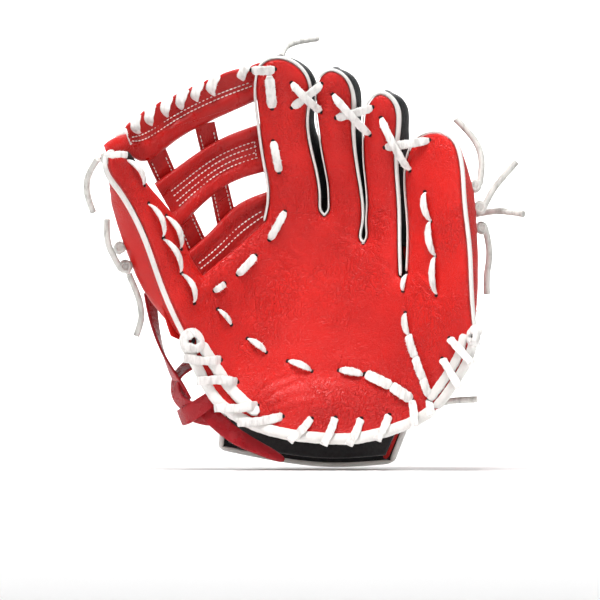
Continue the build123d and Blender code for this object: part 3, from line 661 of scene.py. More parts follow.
def hide_depth(p, dents=True):
    """Depth of the hide's face behind the catching surface."""
    gap = nearest(p, free_edges)[0]
    roll = ROLL_DEPTH * (1 - quarter_round(gap / ROLL))
    crown = CROWN * (1 - (1 - np.clip(gap / CROWN_REACH, 0, 1)) ** 2)
    heel = nearest(p, [heel_line])[0]
    crown = crown * (0.25 + 0.75 * smoothstep(6, 26, heel))
    out = roll - crown + relief(p) * smoothstep(0.5, 6, gap)
    if dents:
        near = ((p[:, None] - holes) ** 2).sum(2)
        out += (0.85 * np.exp(-near / 5.0)).max(1)
    return out


def on_hide(p, above):
    """Places above the hide's face, and the direction that points off it."""
    p = np.atleast_2d(np.asarray(p, float))
    return lifted(p, hide_depth(p, False) - above), -normals(pocket_y, p[:, 0], p[:, 1])


def hide(outline, pitch=1.7):
    flat, triangles = fill(outline, pitch, (0.35, 0.9, 1.7, 2.8, 4.2))
    depth = hide_depth(flat)
    return closed_sheet(lifted(flat, depth), lifted(flat, depth + LEATHER), triangles)


# Fold lines between two bodies, with the points between which the moving side was to take over. Nothing bends a piece
# across them: a piece given one is only baked into the frame.
THUMB_BEND = ("palm", "thumb", (-72.5, 0, 84), (-86.5, 0, 84))
PINKY_BEND = ("palm", "pinky", (77, 0, 63), (86, 0, 65.5))
WEB_BEND = ("palm", "thumb", (-36, 0, 200), (-112, 0, 160))

palm_heel = heel_line[heel_line[:, 0] < PINKY_FOLD[1][0] - 1.5]
pinky_heel = heel_line[heel_line[:, 0] > PINKY_FOLD[1][0] - 2.0]
HIDE_INSET = 1.8
palm_hide_heel, pinky_hide_heel = shifted(palm_heel, HIDE_INSET), shifted(pinky_heel, HIDE_INSET)
front = closed(spline(THUMB_EDGE), spline(PALM_WEB_EDGE), spline(INDEX_EDGE), spline(MIDDLE_EDGE), spline(RING_EDGE),
    spline(SLIT_END)[:3], spline([PINKY_FOLD[0], (88.5, 15.5)]), palm_hide_heel[::-1])
side = closed(spline(SLIT_END)[2:], spline(PINKY_EDGE), spline([(112, 70), (115, 68.5)]), pinky_hide_heel[::-1],
    spline([(88, 15.6), PINKY_FOLD[0]]))
piece("palm_hide", hide(front), RED, blend=THUMB_BEND, nodes=("palm_leather", "thumb_leather"))
piece("pinky_hide", hide(side), RED, blend=PINKY_BEND, nodes=("pinky_leather",))

# Inner layers.
UNDER = 2.6


def flat_piece(name, outline, depth, thick, material, nodes, body=None, blend=None, surface=pocket_y,
    pitch=3.2, puff=0.0):
    flat, triangles = fill(outline, pitch, (0.6, 1.6))
    edge = nearest(flat, [np.concatenate([outline, outline[:1]])])[0]
    soft = 0.5 * thick * (1 - quarter_round(edge / (0.5 * thick + 0.6)))
    swell = puff * (1 - (1 - np.clip(edge / 16, 0, 1)) ** 2)
    skin = closed_sheet(lifted(flat, depth + soft * 0.9, surface), lifted(flat, depth + thick - soft * 0.9 + swell,
            surface), triangles)
    return piece(name, skin, material, body, blend, nodes)


inner_heel = [(-77, 62), (-64, 38), (-46, 20.5), (-22, 9.5), (6, 6.4), (30, 6), (50, 10), (70, 17.5), (82, 24)]
pad_outline = outlined(inner_heel, [(82, 24), (61.5, 102)], [(61.5, 112), (-66, 112)], [(-70.5, 104), (-77, 62)])
palm_pad = flat_piece("palm_felt", pad_outline, UNDER + 2.0, 5.0, FELT, ("palm_pad",), "palm", puff=1.2)
flat_piece("palm_liner", pad_outline, UNDER + 8.6, 1.2, LINING, ("palm_lining",), "palm")
flat_piece("thumb_board", outlined([(-92, 88), (-103, 113), (-116, 140), (-126, 160)],
        [(-122, 162), (-106, 143), (-95, 122), (-87, 96)]), UNDER, 1.3, PLASTIC, ("thumb_stay",), "thumb")
flat_piece("pinky_board", outlined([(76, 100), (76, 180), (84, 196)], [(84, 196), (95, 190), (99, 160), (103, 110),
        (104, 70)], [(104, 66), (90, 50)]), UNDER, 1.3, PLASTIC, ("pinky_stay",), "pinky")


# Finger backs: pillows behind the hide, each with its lining.
def stall(edge, foot, swell, over, lean, share=None, flank=None):
    sides = spline(edge, 1.4)
    outline = closed(sides, spline(foot, 2.0), step=1.4)
    flat, triangles = fill(outline, 2.6, (0.12, 0.4, 0.9, 1.7, 2.9, 4.6))
    gap, place = nearest(flat, [sides])
    t = np.clip(gap / over, 0, 1)
    grow = np.clip((1 - (1 - t) ** 2.5), 0, 1) ** (1 / 2.3)
    low = min(z for _, z in foot)
    if share is not None:
        grow = grow * (0.45 + 0.55 * smoothstep(low - 2, low + 42, flat[:, 1]))
    depth = swell * grow
    out = place - flat
    out /= np.maximum(np.linalg.norm(out, axis=1, keepdims=True), 1e-6)
    low_part = 1 - smoothstep(192, 216, flat[:, 1])
    leans = lean[0] > 0
    bulge = np.where((out[:, 0] < 0) & leans, 3.4 + 1.6 * low_part, 1.6 + 3.2 * low_part * leans)
    bulge = bulge * np.sin(np.pi * np.clip(grow * 1.25, 0, 1)) * (gap < over)
    n = normals(pocket_y, flat[:, 0], flat[:, 1])
    base = lifted(flat, ROLL_DEPTH + 0.6)
    lean_share = grow**1.05
    if share is None:
        push = np.stack([lean[0] * lean_share, depth, lean[1] * lean_share], 1)
    else:
        push = n * depth[:, None] * np.array([share, 1, share])
        push[:, 1] = n[:, 1] * depth + (1 - share) * (depth - n[:, 1] * depth) * 0.5
    outer = base + push + np.stack([out[:, 0] * bulge, np.zeros(len(flat)), out[:, 1] * bulge], 1)
    if flank:
        sign = 1 if flank[0][0] > 0 else -1
        levels = np.arange(outer[:, 2].min() + 4, outer[:, 2].max() - 3, 5.0)
        most = [sign * (sign * outer[np.abs(outer[:, 2] - z) < 5, 0]).max() for z in levels]
        target = np.interp(outer[:, 2], *np.array(flank, float)[:, ::-1].T)
        outer[:, 0] += (target - np.interp(outer[:, 2], levels, most)) * smoothstep(0.1, 0.75, grow)
    ripple = 0.35 * np.sin(flat[:, 1] / 6 + flat[:, 0] / 9) * np.sin(flat[:, 1] / 17 + 1.0) * grow
    outer[:, 1] += ripple
    off = vertex_normals(outer, triangles)
    if (off[:, 1] * grow).sum() < 0:
        off = -off
    return outer, off, triangles


for name, facts in STALLS.items():
    outer, off, triangles = stall(**facts)
    red = name in ("pinky", "thumb")
    body = name if red else "palm"
    piece(f"{name}_shell", closed_sheet(outer, outer - off * STALL_LEATHER, triangles), RED_SMOOTH if red else BLACK,
        body, nodes=(f"{name}_back",))
    lining = outer - off * (STALL_LEATHER + STALL_GAP)
    piece(f"{name}_liner", closed_sheet(lining, lining - off * STALL_LINING, triangles), INNER, body,
        nodes=(f"{name}_lining",))


# White piping just outside the edges.
def welt(edge, widths, high=1.35, depth=1.5, out=0.55):
    """A welt along an edge, its half width given at shares of its length."""
    smooth = spline(edge, 1.0)
    line = even(smooth, 1 + int(length(smooth) / 1.1))
    keep = np.concatenate([[True], np.linalg.norm(np.diff(line, axis=0), axis=1) > 0.05])
    line = line[keep]
    for _ in range(3):
        line[1:-1] = (line[:-2] + 2 * line[1:-1] + line[2:]) / 4
    half = np.interp(np.linspace(0, 1, len(line)), *np.array(widths, float).T)
    p = shifted(line, half * 0.8 + out)
    return sweep(lifted(p, depth), -normals(pocket_y, *p.T), half, high, 12, 2.3)


# Piping: its edge, its half width at shares of its length, and its body.
PIPING = {
    "index": (INDEX_EDGE, [(0, 0.9), (0.3, 1.05), (0.42, 0.8), (0.5, 0.9), (0.58, 1.15), (0.75, 1.0), (1, 0.85)],
        "palm"),
    "middle": (MIDDLE_EDGE, [(0, 0.7), (0.1, 0.55), (0.38, 0.5), (0.48, 0.9), (0.58, 1.7), (0.7, 1.25), (1, 0.8)],
        "palm"),
    "ring": (RING_EDGE, [(0, 0.7), (0.1, 0.55), (0.36, 0.5), (0.44, 1.0), (0.53, 1.9), (0.66, 1.4), (1, 1.1)],
        "palm"),
    "pinky": (PINKY_EDGE, [(0, 0.7), (0.1, 0.5), (0.3, 0.5), (0.42, 0.9), (0.5, 1.5), (0.8, 1.6), (1, 1.4)], "pinky"),
    "thumb": (THUMB_EDGE[:9], [(0, 1.8), (0.2, 2.0), (0.6, 2.1), (0.9, 2.2), (1, 1.4)], "thumb"),
}
for name, (edge, widths, body) in PIPING.items():
    piece(f"{name}_welt", welt(edge, widths), WHITE, body, nodes=(f"{name}_piping",))


def seam(edge, away, depth, start, end):
    """Fine stitches in the shell beside the piping."""
    line = shifted(even(spline(edge, 1.0), 240), away)
    x, z = line.T
    path = np.stack([x, pocket_y(x, z) + depth, z], 1)
    parts = []
    t = np.concatenate([[0], np.cumsum(np.linalg.norm(np.diff(path, axis=0), axis=1))])
    for at in np.arange(start * t[-1], end * t[-1], 2.6):
        ends = np.stack([np.interp([at, at + 0.75, at + 1.5], t, path[:, k]) for k in range(3)], 1)
        parts.append(sweep(ends, TO_VIEWER, 0.34, 0.34, 6, 2.0))
    return joined(parts)


piece("thumb_seam_threads", seam(THUMB_EDGE[:9], 5.2, 3.2, 0.04, 0.86), SEAM, "thumb")
piece("pinky_seam_threads", seam(PINKY_EDGE, 4.1, 2.9, 0.52, 0.97), SEAM, "pinky")


# Laces.
def strand(a, b, wide=6.0, bow=0.0, leaf=0.0, arch=1.0, thick=1.7, under=0.0, fuzz=1.0, steps=17):
    """A flat lace from one hole to another over the hide."""
    a, b = np.array(a, float), np.array(b, float)
    ends = on_hide([a, b], 0.0)[0]
    t = np.linspace(0, 1, steps)
    across = np.array([-(b - a)[1], (b - a)[0]]) / np.linalg.norm(b - a)
    flat = a + (b - a) * t[:, None] + across * (bow * np.sin(np.pi * t))[:, None]
    over, ups = on_hide(flat, 0.0)
    chord = ends[0] + (ends[1] - ends[0]) * t[:, None]
    chord[:, 0], chord[:, 2] = flat[:, 0], flat[:, 1]
    high = np.minimum(over[:, 1], chord[:, 1])
    for _ in range(4):
        high[1:-1] = (high[:-2] + 2 * high[1:-1] + high[2:]) / 4
    rise = quarter_round(np.minimum(t, 1 - t) / LACE_ENTRY)
    path = np.stack([flat[:, 0], high, flat[:, 1]], 1)
    path += ups * ((thick * 0.55 + under + arch * np.sin(np.pi * t)) * rise - LACE_SINK * (1 - rise))[:, None]
    shape = 1 - leaf * (1 - np.sin(np.pi * np.clip(t, 0.02, 0.98)) ** 0.55) * 0.92
    half = 0.5 * wide * shape * (1 + 0.05 * np.sin(t * 23 + a[0]) + 0.04 * np.sin(t * 41 + a[1]))
    skin = sweep(path, ups, half, 0.5 * thick * (0.75 + 0.25 * shape), LACE_SIDES, LACE_POWER)
    return [skin, *fibres(skin, LACE_SIDES, int(1.5 * fuzz * np.linalg.norm(b - a)), 1.25)]


# Dark lenses of painted shade for the lace holes, gathered by body.
hole_shade_parts = {"palm": [], "thumb": [], "pinky": []}


def punch(body, hole, towards, wide=1.7):
    """Painted shade in the mouth of a lace hole: a dark lens drawn out along its lace."""
    hole, towards = np.array(hole, float), np.array(towards, float)
    out = (hole - towards) / np.linalg.norm(hole - towards)
    at, off = on_hide([hole + out * 0.5], -0.6)
    hole_shade_parts[body].append(disc(at[0], off[0], wide, 1.2, 0.4, (out[0], 0, out[1])))


def lace(name, runs, body, nodes=None, blend=None, fuzz=1.0, punched=True):
    parts = []
    for a, b, wide, bow, leaf in runs:
        parts += strand(a, b, wide, bow, leaf, fuzz=fuzz)
        if punched:
            punch(body, b, a)
            punch(body, a, b)
    return piece(f"{name}_strands", joined(parts), LACE, None if blend else body, blend, nodes or (name,), 50)


for name in ("palm_web_lace", "pocket_lace", "corner_lace", "pinky_hinge_lace", "index_lace"):
    lace(name, STITCHES[name], "palm")
lace("thumb_lace", STITCHES["thumb_lace"] + THUMB_WEB_LACE, "thumb", fuzz=0.25)
lace("pinky_lace", STITCHES["pinky_lace"], "pinky", fuzz=0.6)

for name, (lower, upper) in TIP_LACES.items():
    parts = strand(*lower, 6.0, arch=0.8) + strand(*upper, 5.6, arch=2.6, under=0.6)
    for a, b in (lower, upper):
        for hole, far in ((a, b), (b, a)):
            punch("pinky" if name.startswith("ring") and hole[0] > 66 else "palm", hole, far)
    bend = ("palm", "pinky", (60, 0, 200), (69, 0, 200)) if name.startswith("ring") else None
    piece(f"{name}_cross", joined(parts), LACE, None if bend else "palm", bend, (name,), 50)


def over_rim(tip, rim, above, behind, around=0.28, wide=6.4, thick=1.8, sink=True, back=9.0, fuzz=1.0, depth_at=None,
    bow=0.0):
    """A lace from a hole in front, over a rim and down behind it. above gives its height over the hide at shares."""
    tip, rim = np.array(tip, float), np.array(rim, float)
    run = np.linalg.norm(rim - tip)
    way = (rim - tip) / run
    s = np.linspace(0, run, max(8, int(run / 1.6)))
    flat = tip + way * s[:, None]
    depth = depth_at(flat) if depth_at else hide_depth(flat, False)
    height = np.interp(s / run, *np.array(above, float).T)
    depth = depth - height - thick * 0.5
    if sink:
        depth = depth + 3.2 * (1 - smoothstep(0, 2.6, s))
    middle, reach = (depth[-1] + behind) / 2, (behind - depth[-1]) / 2
    turn = np.linspace(0, math.pi, 9)[1:]
    s = np.concatenate([s, run + around * reach * np.sin(turn), run - np.linspace(1.5, back, 5)])
    depth = np.concatenate([depth, middle - reach * np.cos(turn), np.full(5, behind)])
    depth[-1] -= 1.0
    aside = np.array([-way[1], way[0]]) * bow
    path = lifted(tip + way * s[:, None] + aside * np.sin(np.pi * np.clip(s / run, 0, 1))[:, None], depth)
    path = even(path, int(length(path) / 1.3))
    side = np.array([-way[1], 0.0, way[0]])
    ahead = np.gradient(path, axis=0)
    ups = np.cross(side, ahead)
    front = -normals(pocket_y, path[:3, 0], path[:3, 2])
    if (ups[:3] * front).sum() < 0:
        ups = -ups
    t = np.arange(len(path))
    skin = sweep(path, ups, 0.5 * wide * (1 + 0.05 * np.sin(t * 1.3 + tip[0]) + 0.05 * np.sin(t * 0.47 + tip[1])),
        0.5 * thick, LACE_SIDES, LACE_POWER)
    return [skin, *fibres(skin, LACE_SIDES, int(1.2 * fuzz * run), 1.1)]


# Heel: the rolled binding, the lace whipped over it, and the knots.
def band(line, inset, wide, high, depth, power=2.4):
    p = even(shifted(line, inset), int(length(line) / 1.5))
    rough = 0.12 * np.sin(np.arange(len(p)) * 0.9) + 0.1 * np.sin(np.arange(len(p)) * 2.3)
    ups = -normals(pocket_y, p[:, 0], p[:, 1])
    return sweep(lifted(p, depth), ups, wide + rough, high, 18, power)


bottom = heel_line[(heel_line[:, 0] > -60) & (heel_line[:, 0] < 88.5)]
left = heel_line[heel_line[:, 0] < -52]
piece("heel_roll", joined([band(bottom, 3.2, 4.1, 2.9, 0.9), band(left, 3.4, 3.9, 2.4, 0.4, 2.8),
        band(spline([(-76, 61), (-66, 45), (-52, 26), (-36, 12)], 1.2), 0, 4.2, 1.4, -2.6, 3.0)]),
    WHITE, "palm", nodes=("heel_binding",))
piece("pinky_heel_roll", joined([band(pinky_heel, 3.0, 3.4, 2.5, 0.6, 2.8), band(pinky_heel[1:-2], 10.2, 3.5, 1.6,
        -1.4, 3.0)]), WHITE, "pinky", nodes=("pinky_heel_binding",))

# Height of a heel turn over the hide at shares of its run, and how far each turn bows aside.
ABOVE = [(0, 0.2), (0.3, 0.6), (0.55, 3.0), (1, 3.4)]
ABOVE_LEFT = [(0, 0.4), (0.2, 2.8), (0.8, 3.0), (1, 2.8)]
HEEL_BOWS = (1.3, -1.2, 1.4, 1.2, 0.9, 0.6, 0.7, 0.6, 0.5, 0.0)
parts = []
for k, (tip, rim) in enumerate(HEEL_TURNS):
    parts += over_rim(tip, rim, ABOVE if k > 2 else ABOVE_LEFT, 6.0, 0.2, 6.2 if k < 4 else 5.6, bow=HEEL_BOWS[k])
    punch("palm", tip, rim)
piece("heel_whip", joined(parts), LACE, "palm", nodes=("heel_lace",), smooth=50)
parts = []
for tip, rim in PINKY_TURNS:
    parts += over_rim(tip, rim, [(0, 0.4), (0.25, 2.6), (1, 3.0)], 5.6, wide=5.6)
    punch("pinky", tip, rim)
piece("pinky_heel_whip", joined(parts), LACE, "pinky", nodes=("pinky_heel_lace",), smooth=50)


def knot(place, half, turns):
    """Turns of flat lace wound round an eye, and a dark lens of painted shade in the eye."""
    at, off = on_hide([place], 2.2)
    at, up = at[0], off[0]
    one = unit(np.cross(up, (0.0, 0.0, 1.0)))
    two = np.cross(up, one)
    parts = []
    for radius, lift, tilt, start, end in turns:
        a = np.linspace(math.radians(start), math.radians(end), 34)
        r = radius * (1 + 0.05 * np.sin(3 * a + start))
        path = at + np.outer(r * np.cos(a), one) + np.outer(r * np.sin(a),
            two) + np.outer(lift + tilt * np.sin(a), up)
        parts.append(sweep(path, up + 0.5 * (path - at) / radius, half, 1.5, 12, 2.7))
        parts += fibres(parts[-1], 12, 10, 1.2)
    return joined(parts), disc(at + up * 0.2, up, 1.6, 2.3, 0.6)


for name, (place, ring, half) in KNOTS.items():
    body = "palm" if name.startswith("thumb") else "pinky"
    turns = [(ring, 0.2, 0.6, 20, 350), (ring + 0.9, -1.2, 0.3, 190, 500), (ring + 0.2, 1.4, 0.8, 100, 290)]
    skin, eye = knot(place, half, turns)
    bend = THUMB_BEND if body == "palm" else None
    piece(f"{name}_turns", skin, LACE, None if bend else body, bend, (name,), 50)
    hole_shade_parts[body].append(eye)


# Web.
def strap_face(v, tall, rolls, rows, thick):
    """Depth of a strap's face at each share of its height: round edges, puffed rolls and stitched grooves."""
    gap = np.minimum(v, 1 - v) * tall
    depth = 0.5 * thick * (1 - quarter_round(gap / (thick * 0.55)))
    for centre, half, high in rolls:
        depth = depth - high * np.sqrt(np.clip(1 - ((v - centre) / half) ** 2, 0, 1))
    for row in rows:
        depth = depth + 0.4 * np.exp(-(((v - row) * tall / 0.8) ** 2))
    return depth


def strap(lower, upper, depth, thick, rolls, rows, stations=64, across=30, puffed=False):
    """A padded strap between two edges, and the stitches along its rows."""
    low, up = even(spline(lower, 1.0), stations), even(spline(upper, 1.0), stations)
    plain = up
    if puffed:
        up = scalloped(up)
    tall = np.linalg.norm(up - low, axis=1)
    v = 0.5 - 0.5 * np.cos(np.linspace(0, math.pi, across))
    v = 0.6 * v + 0.4 * np.linspace(0, 1, across)
    flat = low[:, None] + (up - low)[:, None] * v[None, :, None]
    face = np.array([strap_face(v, h, rolls, rows, thick) for h in tall])
    wave = 0.35 * np.sin(flat[..., 0] / 7 + flat[..., 1] / 11) + 0.25 * np.sin(flat[..., 0] / 3.1 - flat[..., 1] / 5)
    face = face + wave * np.sin(np.pi * v)[None]
    soft = np.array([strap_face(v, h, (), (), thick) for h in tall])
    front = lifted(flat.reshape(-1, 2), (depth + face).ravel()).reshape(stations, across, 3)
    back = lifted(flat.reshape(-1, 2), (depth + thick - soft).ravel()).reshape(stations, across, 3)
    loop = np.concatenate([front, back[:, -2:0:-1]], 1)
    m = loop.shape[1]
    faces = tube_faces(stations, m)
    for end in (0, (stations - 1) * m):
        for k in range(across - 2):
            faces.append((end + k, end + k + 1, end + (m - 1 - k), end + (m - k) % m))
        faces.append((end + across - 2, end + across - 1, end + across))
    lines = []
    for row in rows:
        p = low + (plain - low) * row
        d = depth + np.array([strap_face(np.array([row]), h, rolls, rows, thick)[0] for h in tall]) - 0.1
        lines.append(lifted(p, d))
    return (loop.reshape(-1, 3), faces), lines


def stitches(line, start=0.03, end=0.97, pitch=3.0, long=1.9, radius=0.42):
    """Short raised stitches along a line."""
    total = length(line)
    parts = []
    for s in np.arange(start * total, end * total, pitch):
        ends = even(line, 400)[[int(min(399, s / total * 399)), int(min(399, (s + long) / total * 399))]]
        t = np.linspace(0, 1, 5)
        path = ends[0] + (ends[1] - ends[0]) * t[:, None]
        path[:, 1] -= 0.32 * np.sin(np.pi * t)
        parts.append(sweep(path, TO_VIEWER, radius, radius, 6, 2.0))
    return parts


# The top strap's end folds over the thumb tip, and a lace holds it down.
def tip_flap():
    a = np.linspace(-0.5 * math.pi, 0.9 * math.pi, 22)
    rows = []
    for u in np.linspace(0, 1, 14):
        x, z = -139 + 15 * u, 192.5 + 6.5 * u
        y = float(pocket_y(np.array([x]), np.array([z]))[0]) + 6.5
        pinch = 1 - 0.25 * abs(2 * u - 1) ** 3
        ring = []
        for angles, thick, wide, high in ((a, 1.8, 7.2, 6.4), (a[::-1], 1.4, 5.4, 4.6)):
            for t in angles:
                ring.append((x - thick * math.sin(t) - 1.0, y - wide * pinch * math.cos(t),
                    z + high * pinch * math.sin(t) + 1.5 * u))
        rows.append(ring)
    n = len(rows[0])
    faces = tube_faces(len(rows), n)
    half = n // 2
    for end in (0, (len(rows) - 1) * n):
        faces += [(end + k, end + k + 1, end + n - 2 - k, end + n - 1 - k) for k in range(half - 1)]
    return np.array(rows).reshape(-1, 3), faces


piece("web_tip_flap", tip_flap(), RED_WEB_SHADED, "thumb")
tip_lace = strand((-139.5, 190), (-126.5, 190.5), 4.6, 0.8, 0, arch=1.6, thick=1.7, under=1.0)
piece("thumb_tip_loop", joined(tip_lace), LACE, "thumb", smooth=50)

# Whip lace over the top strap: each turn's lower end, and the way it leans.
WHIPS = [((-48.5, 243.4), (0.42, 1), 6.6), ((-69.7, 233.6), (0.30, 1), 7.8), ((-80.6, 229.0), (0.30, 1), 7.2),
    ((-91, 223.6), (0.28, 1), 7.4),
    ((-101.5, 218.0), (0.24, 1), 7.4), ((-111.9, 211.5), (0.14, 1), 7.4), ((-120.4, 205.8), (0.0, 1),
        7.6), ((-126.6, 197.0), (-0.38, 1), 8.8)]
top_edge = spline(WEB_STRAPS["web_top_strap"][1], 1.0)
top_pinch = []
for tip, way, _ in WHIPS:
    ray = np.array(tip, float) + np.array(way, float) / np.linalg.norm(way) * np.linspace(2, 26, 97)[:, None]
    top_pinch.append(ray[nearest(ray, [top_edge])[0].argmin()])
top_pinch = np.array(top_pinch)


def scalloped(line):
    """The strap's upper edge, drawn in under each turn of lace and puffed out between them."""
    gap = np.sqrt(((line[:, None] - top_pinch) ** 2).sum(2)).min(1)
    return shifted(line, 0.8 - 1.9 * np.exp(-((gap / 3.8) ** 2)))


WEB_SHAPES = {
    "web_top_strap": ([(0.19, 0.2, 1.9), (0.82, 0.2, 0.6)], (0.45, 0.56)),
    "web_middle_strap": ([(0.12, 0.15, 1.7), (0.87, 0.14, 2.6)], (0.33, 0.44, 0.56, 0.67)),
    "web_bottom_strap": ([(0.86, 0.17, 2.0), (0.1, 0.16, 1.2)], (0.42, 0.56)),
}
threads = []
for name, (lower, upper) in WEB_STRAPS.items():
    rolls, rows = WEB_SHAPES[name]
    top = name == "web_top_strap"
    forward, thicker = (4.5, 2) if name == "web_bottom_strap" else (0, 0)
    skin, lines = strap(lower, upper, WEB_DEPTH - forward, WEB_THICK + thicker, rolls, rows, 150 if top else 64,
        puffed=top)
    piece(f"{name}_hide", skin, RED_WEB_SHADED, None, WEB_BEND, (name,))
    for line in lines:
        threads += stitches(line, 0.1, 0.93)
    if name == "web_middle_strap":
        turn = np.stack([np.linspace(lines[0][-6], lines[-1][-6], 12)[:, k] for k in range(3)], 1)
        threads += stitches(turn, 0.12, 0.9)
for name, (start, end, wide) in WEB_POSTS.items():
    start, end = np.array(start, float), np.array(end, float)
    across = np.array([-(end - start)[1], (end - start)[0]]) / np.linalg.norm(end - start) * wide / 2
    middle = (start + end) / 2
    skin, lines = strap([start - across, middle - across * 0.93, end - across],
        [start + across, middle + across * 0.93, end + across],
        WEB_DEPTH + WEB_THICK - 0.4, POST_THICK, [(0.5, 0.5, 0.5)], (0.16, 0.84), 40, 22)
    piece(f"{name}_hide", skin, RED_WEB_SHADED, None, WEB_BEND, (name,))
    for line in lines:
        threads += stitches(line, 0.1, 0.9)
piece("web_threads", joined(threads), THREAD, None, WEB_BEND)

parts = []
for (tip, way, wide), rim in zip(WHIPS, top_pinch):
    tip = np.array(tip, float)
    rim = rim - (rim - tip) / np.linalg.norm(rim - tip) * 0.2
    parts += over_rim(tip, rim, [(0, 0.1), (0.4, 1.5), (1, 0.9)], WEB_DEPTH + WEB_THICK + 1.1, 0.3, wide - 0.6, 1.7,
        True, 9.0, 1.8, lambda p: np.full(len(p), WEB_DEPTH + 0.2), 0.7)
piece("web_whip", joined(parts), LACE, None, WEB_BEND, ("web_top_lace",), 50)

# Dark lenses of painted shade in the lace holes and the knots' eyes, one mesh for each body.
for body, found in hole_shade_parts.items():
    piece(f"{body}_lace_holes", joined(found), HOLE_SHADE, body, smooth=80)

# Back of the hand.
def yoke_y(x, z):
    """The back of the hand, held out where the finger backs tuck in under it."""
    ring_side = smoothstep(26, 56, x) * (1 - smoothstep(72, 82, x)) * smoothstep(76, 110, z)
    return back_y(x, np.minimum(z, 108.0)) - 0.05 * np.maximum(z - 108.0, 0) + 8.0 * ring_side


def back_panel(name, outline, depth, body=None, blend=None, thick=1.8, nodes=(), surface=back_y):
    flat_piece(name, outline, depth, thick, RED_SMOOTH, nodes, body, blend, surface, 2.6)


yoke_outline = outlined([(-56, 53), (-20, 46.5), (40, 46.5), (78, 56)], [(78, 56), (80, 112)],
    [(80, 112), (70, 128), (56, 137), (36, 142), (10, 147), (-16, 146), (-34, 134),
        (-56, 108)], [(-56, 108), (-56, 53)])
back_panel("hand_back", yoke_outline, -1.0, "palm", thick=2.2, nodes=("back_yoke",), surface=yoke_y)
WRIST_TABS = {
    "pinky_wrist_tab": [[(50, 13), (70.5, 11)], [(70.5, 11), (78, 30), (80, 60)], [(80, 60), (66, 60)],
        [(66, 60), (60, 34), (50, 13)]],
    "thumb_wrist_tab": [[(-60, 12), (-44, 14)], [(-44, 14), (-42, 34), (-44, 58)], [(-44, 58), (-57, 60)],
        [(-57, 60), (-60, 34), (-60, 12)]],
}
for name, outline in WRIST_TABS.items():
    back_panel(name, outlined(*outline), 1.6, "palm")
thumb_side = outlined([(-54, 54), (-78, 58), (-97, 66)], [(-97, 66), (-104, 96), (-100, 122)],
    [(-100, 122), (-78, 118), (-54, 110)])
back_panel("thumb_back_gusset", thumb_side, -0.2, blend=("palm", "thumb", (-62, 0, 84), (-96, 0, 84)))
pinky_gusset = outlined([(76, 57), (96, 62)], [(96, 62), (98, 100), (92, 124)], [(92, 124), (76, 116)])
back_panel("pinky_back_gusset", pinky_gusset, -0.2, blend=("palm", "pinky", (76, 0, 84), (92, 0, 84)))

strap_outline = outlined([(-62, -12), (-20, -21), (20, -24.5), (57, -22)], [(57, -22), (71, 12)],
    [(71, 12), (20, 18), (-20, 18), (-60, 14)], [(-60, 14), (-62, -12)])
flat_piece("wrist_band", strap_outline, 0.0, 2.4, BLACK, ("wrist_strap",), "palm", surface=back_y,
    pitch=2.4)
fleece_outline = outlined([(-57, -9), (-20, -17), (20, -20.5), (53, -18)], [(53, -18), (65, 9)],
    [(65, 9), (20, 14), (-20, 14), (-56, 10)], [(-56, 10), (-57, -9)])
fleece = flat_piece("wrist_fleece_pad", fleece_outline, -4.6, 4.2, FLEECE, ("wrist_fleece",), "palm",
    surface=back_y, pitch=2.2)


def on_back(line, depth, wide, high, power=2.3):
    p = spline(line, 1.5)
    return sweep(lifted(p, depth, back_y), normals(back_y, p[:, 0], p[:, 1]), wide, high, 12, power)


strap_trim = [on_back(e, 1.2, 1.7, 1.9) for e in ([(-62, -12.4), (-20, -21.4), (20, -24.9), (57, -22.4)],
        [(71, 12.4), (20, 18.4), (-20, 18.4), (-60, 14.4)])]
strap_trim += [on_back([(57.5, -22.4), (63, -8), (71.4, 12.4)], 1.2, 1.9, 1.9),
    on_back([(-62.4, -12.4), (-60.4, 14.4)], 1.2, 1.7, 1.9)]
piece("wrist_band_end", on_back([(52.5, -20), (58, -7), (65, 10)], -1.6, 2.6, 0.9), RED_SMOOTH, "palm")
piece("wrist_band_trim", joined(strap_trim), WHITE, "palm", nodes=("wrist_strap_binding",))
yoke_trim = [on_back([(-56, 52.4), (-20, 45.9), (40, 45.9), (78, 55.4)], 0.1, 2.0, 2.0)]
piece("hand_back_trim", joined(yoke_trim), WHITE, "palm")


# Adjusting strap: it comes down behind the thumb, loops round and is knotted, and its end runs under the heel.
def ribbon(path, ups, wide, thick, point=0.0):
    """A flat strap. point is the share of its length that narrows to its tip."""
    path = spline(path, 1.6)
    ups = even(np.array(ups, float), len(path))
    t = np.linspace(0, 1, len(path))
    half = wide / 2 * (1 + 0.04 * np.sin(t * 9 + wide))
    if point:
        half = half * (0.16 + 0.84 * np.sqrt(np.clip((1 - t) / point, 0, 1)))
    return sweep(path, ups, half, thick / 2, 16, 4.5, False)


# Each length of it: its route, the way its face turns, its width and thickness, and the share that is pointed.
TIE_RUN = ([(-112, -12, 96), (-107.5, -14, 70), (-100, -17, 48), (-92, -24, 33), (-85, -30, 20)],
    [(-0.75, 0.65, -0.2), (-0.8, -0.4, -0.2), (-0.85, -0.5, -0.3)], 12, 2.2)
TIE_LOOP = ([(-84, -14, 46), (-92, -19, 38), (-93.5, -25, 27), (-87, -30, 18), (-77, -33, 15), (-68, -31, 21)],
    [(-0.3, -0.5, 0.8), (-0.9, -0.4, 0.2), (-0.7, -0.6, -0.5), (-0.2, -0.75, -0.7), (0.3, -0.75, -0.6)], 13, 2.2)
TIE_WRAP = ([(-90, -22, 9), (-84, -33, 12), (-75, -36, 18), (-67, -33, 23), (-62, -24, 25)],
    [(-0.8, -0.5, -0.3), (-0.5, -0.8, -0.3), (0, -1, 0), (0.4, -0.9, 0), (0.8, -0.5, 0)], 12, 2.4)
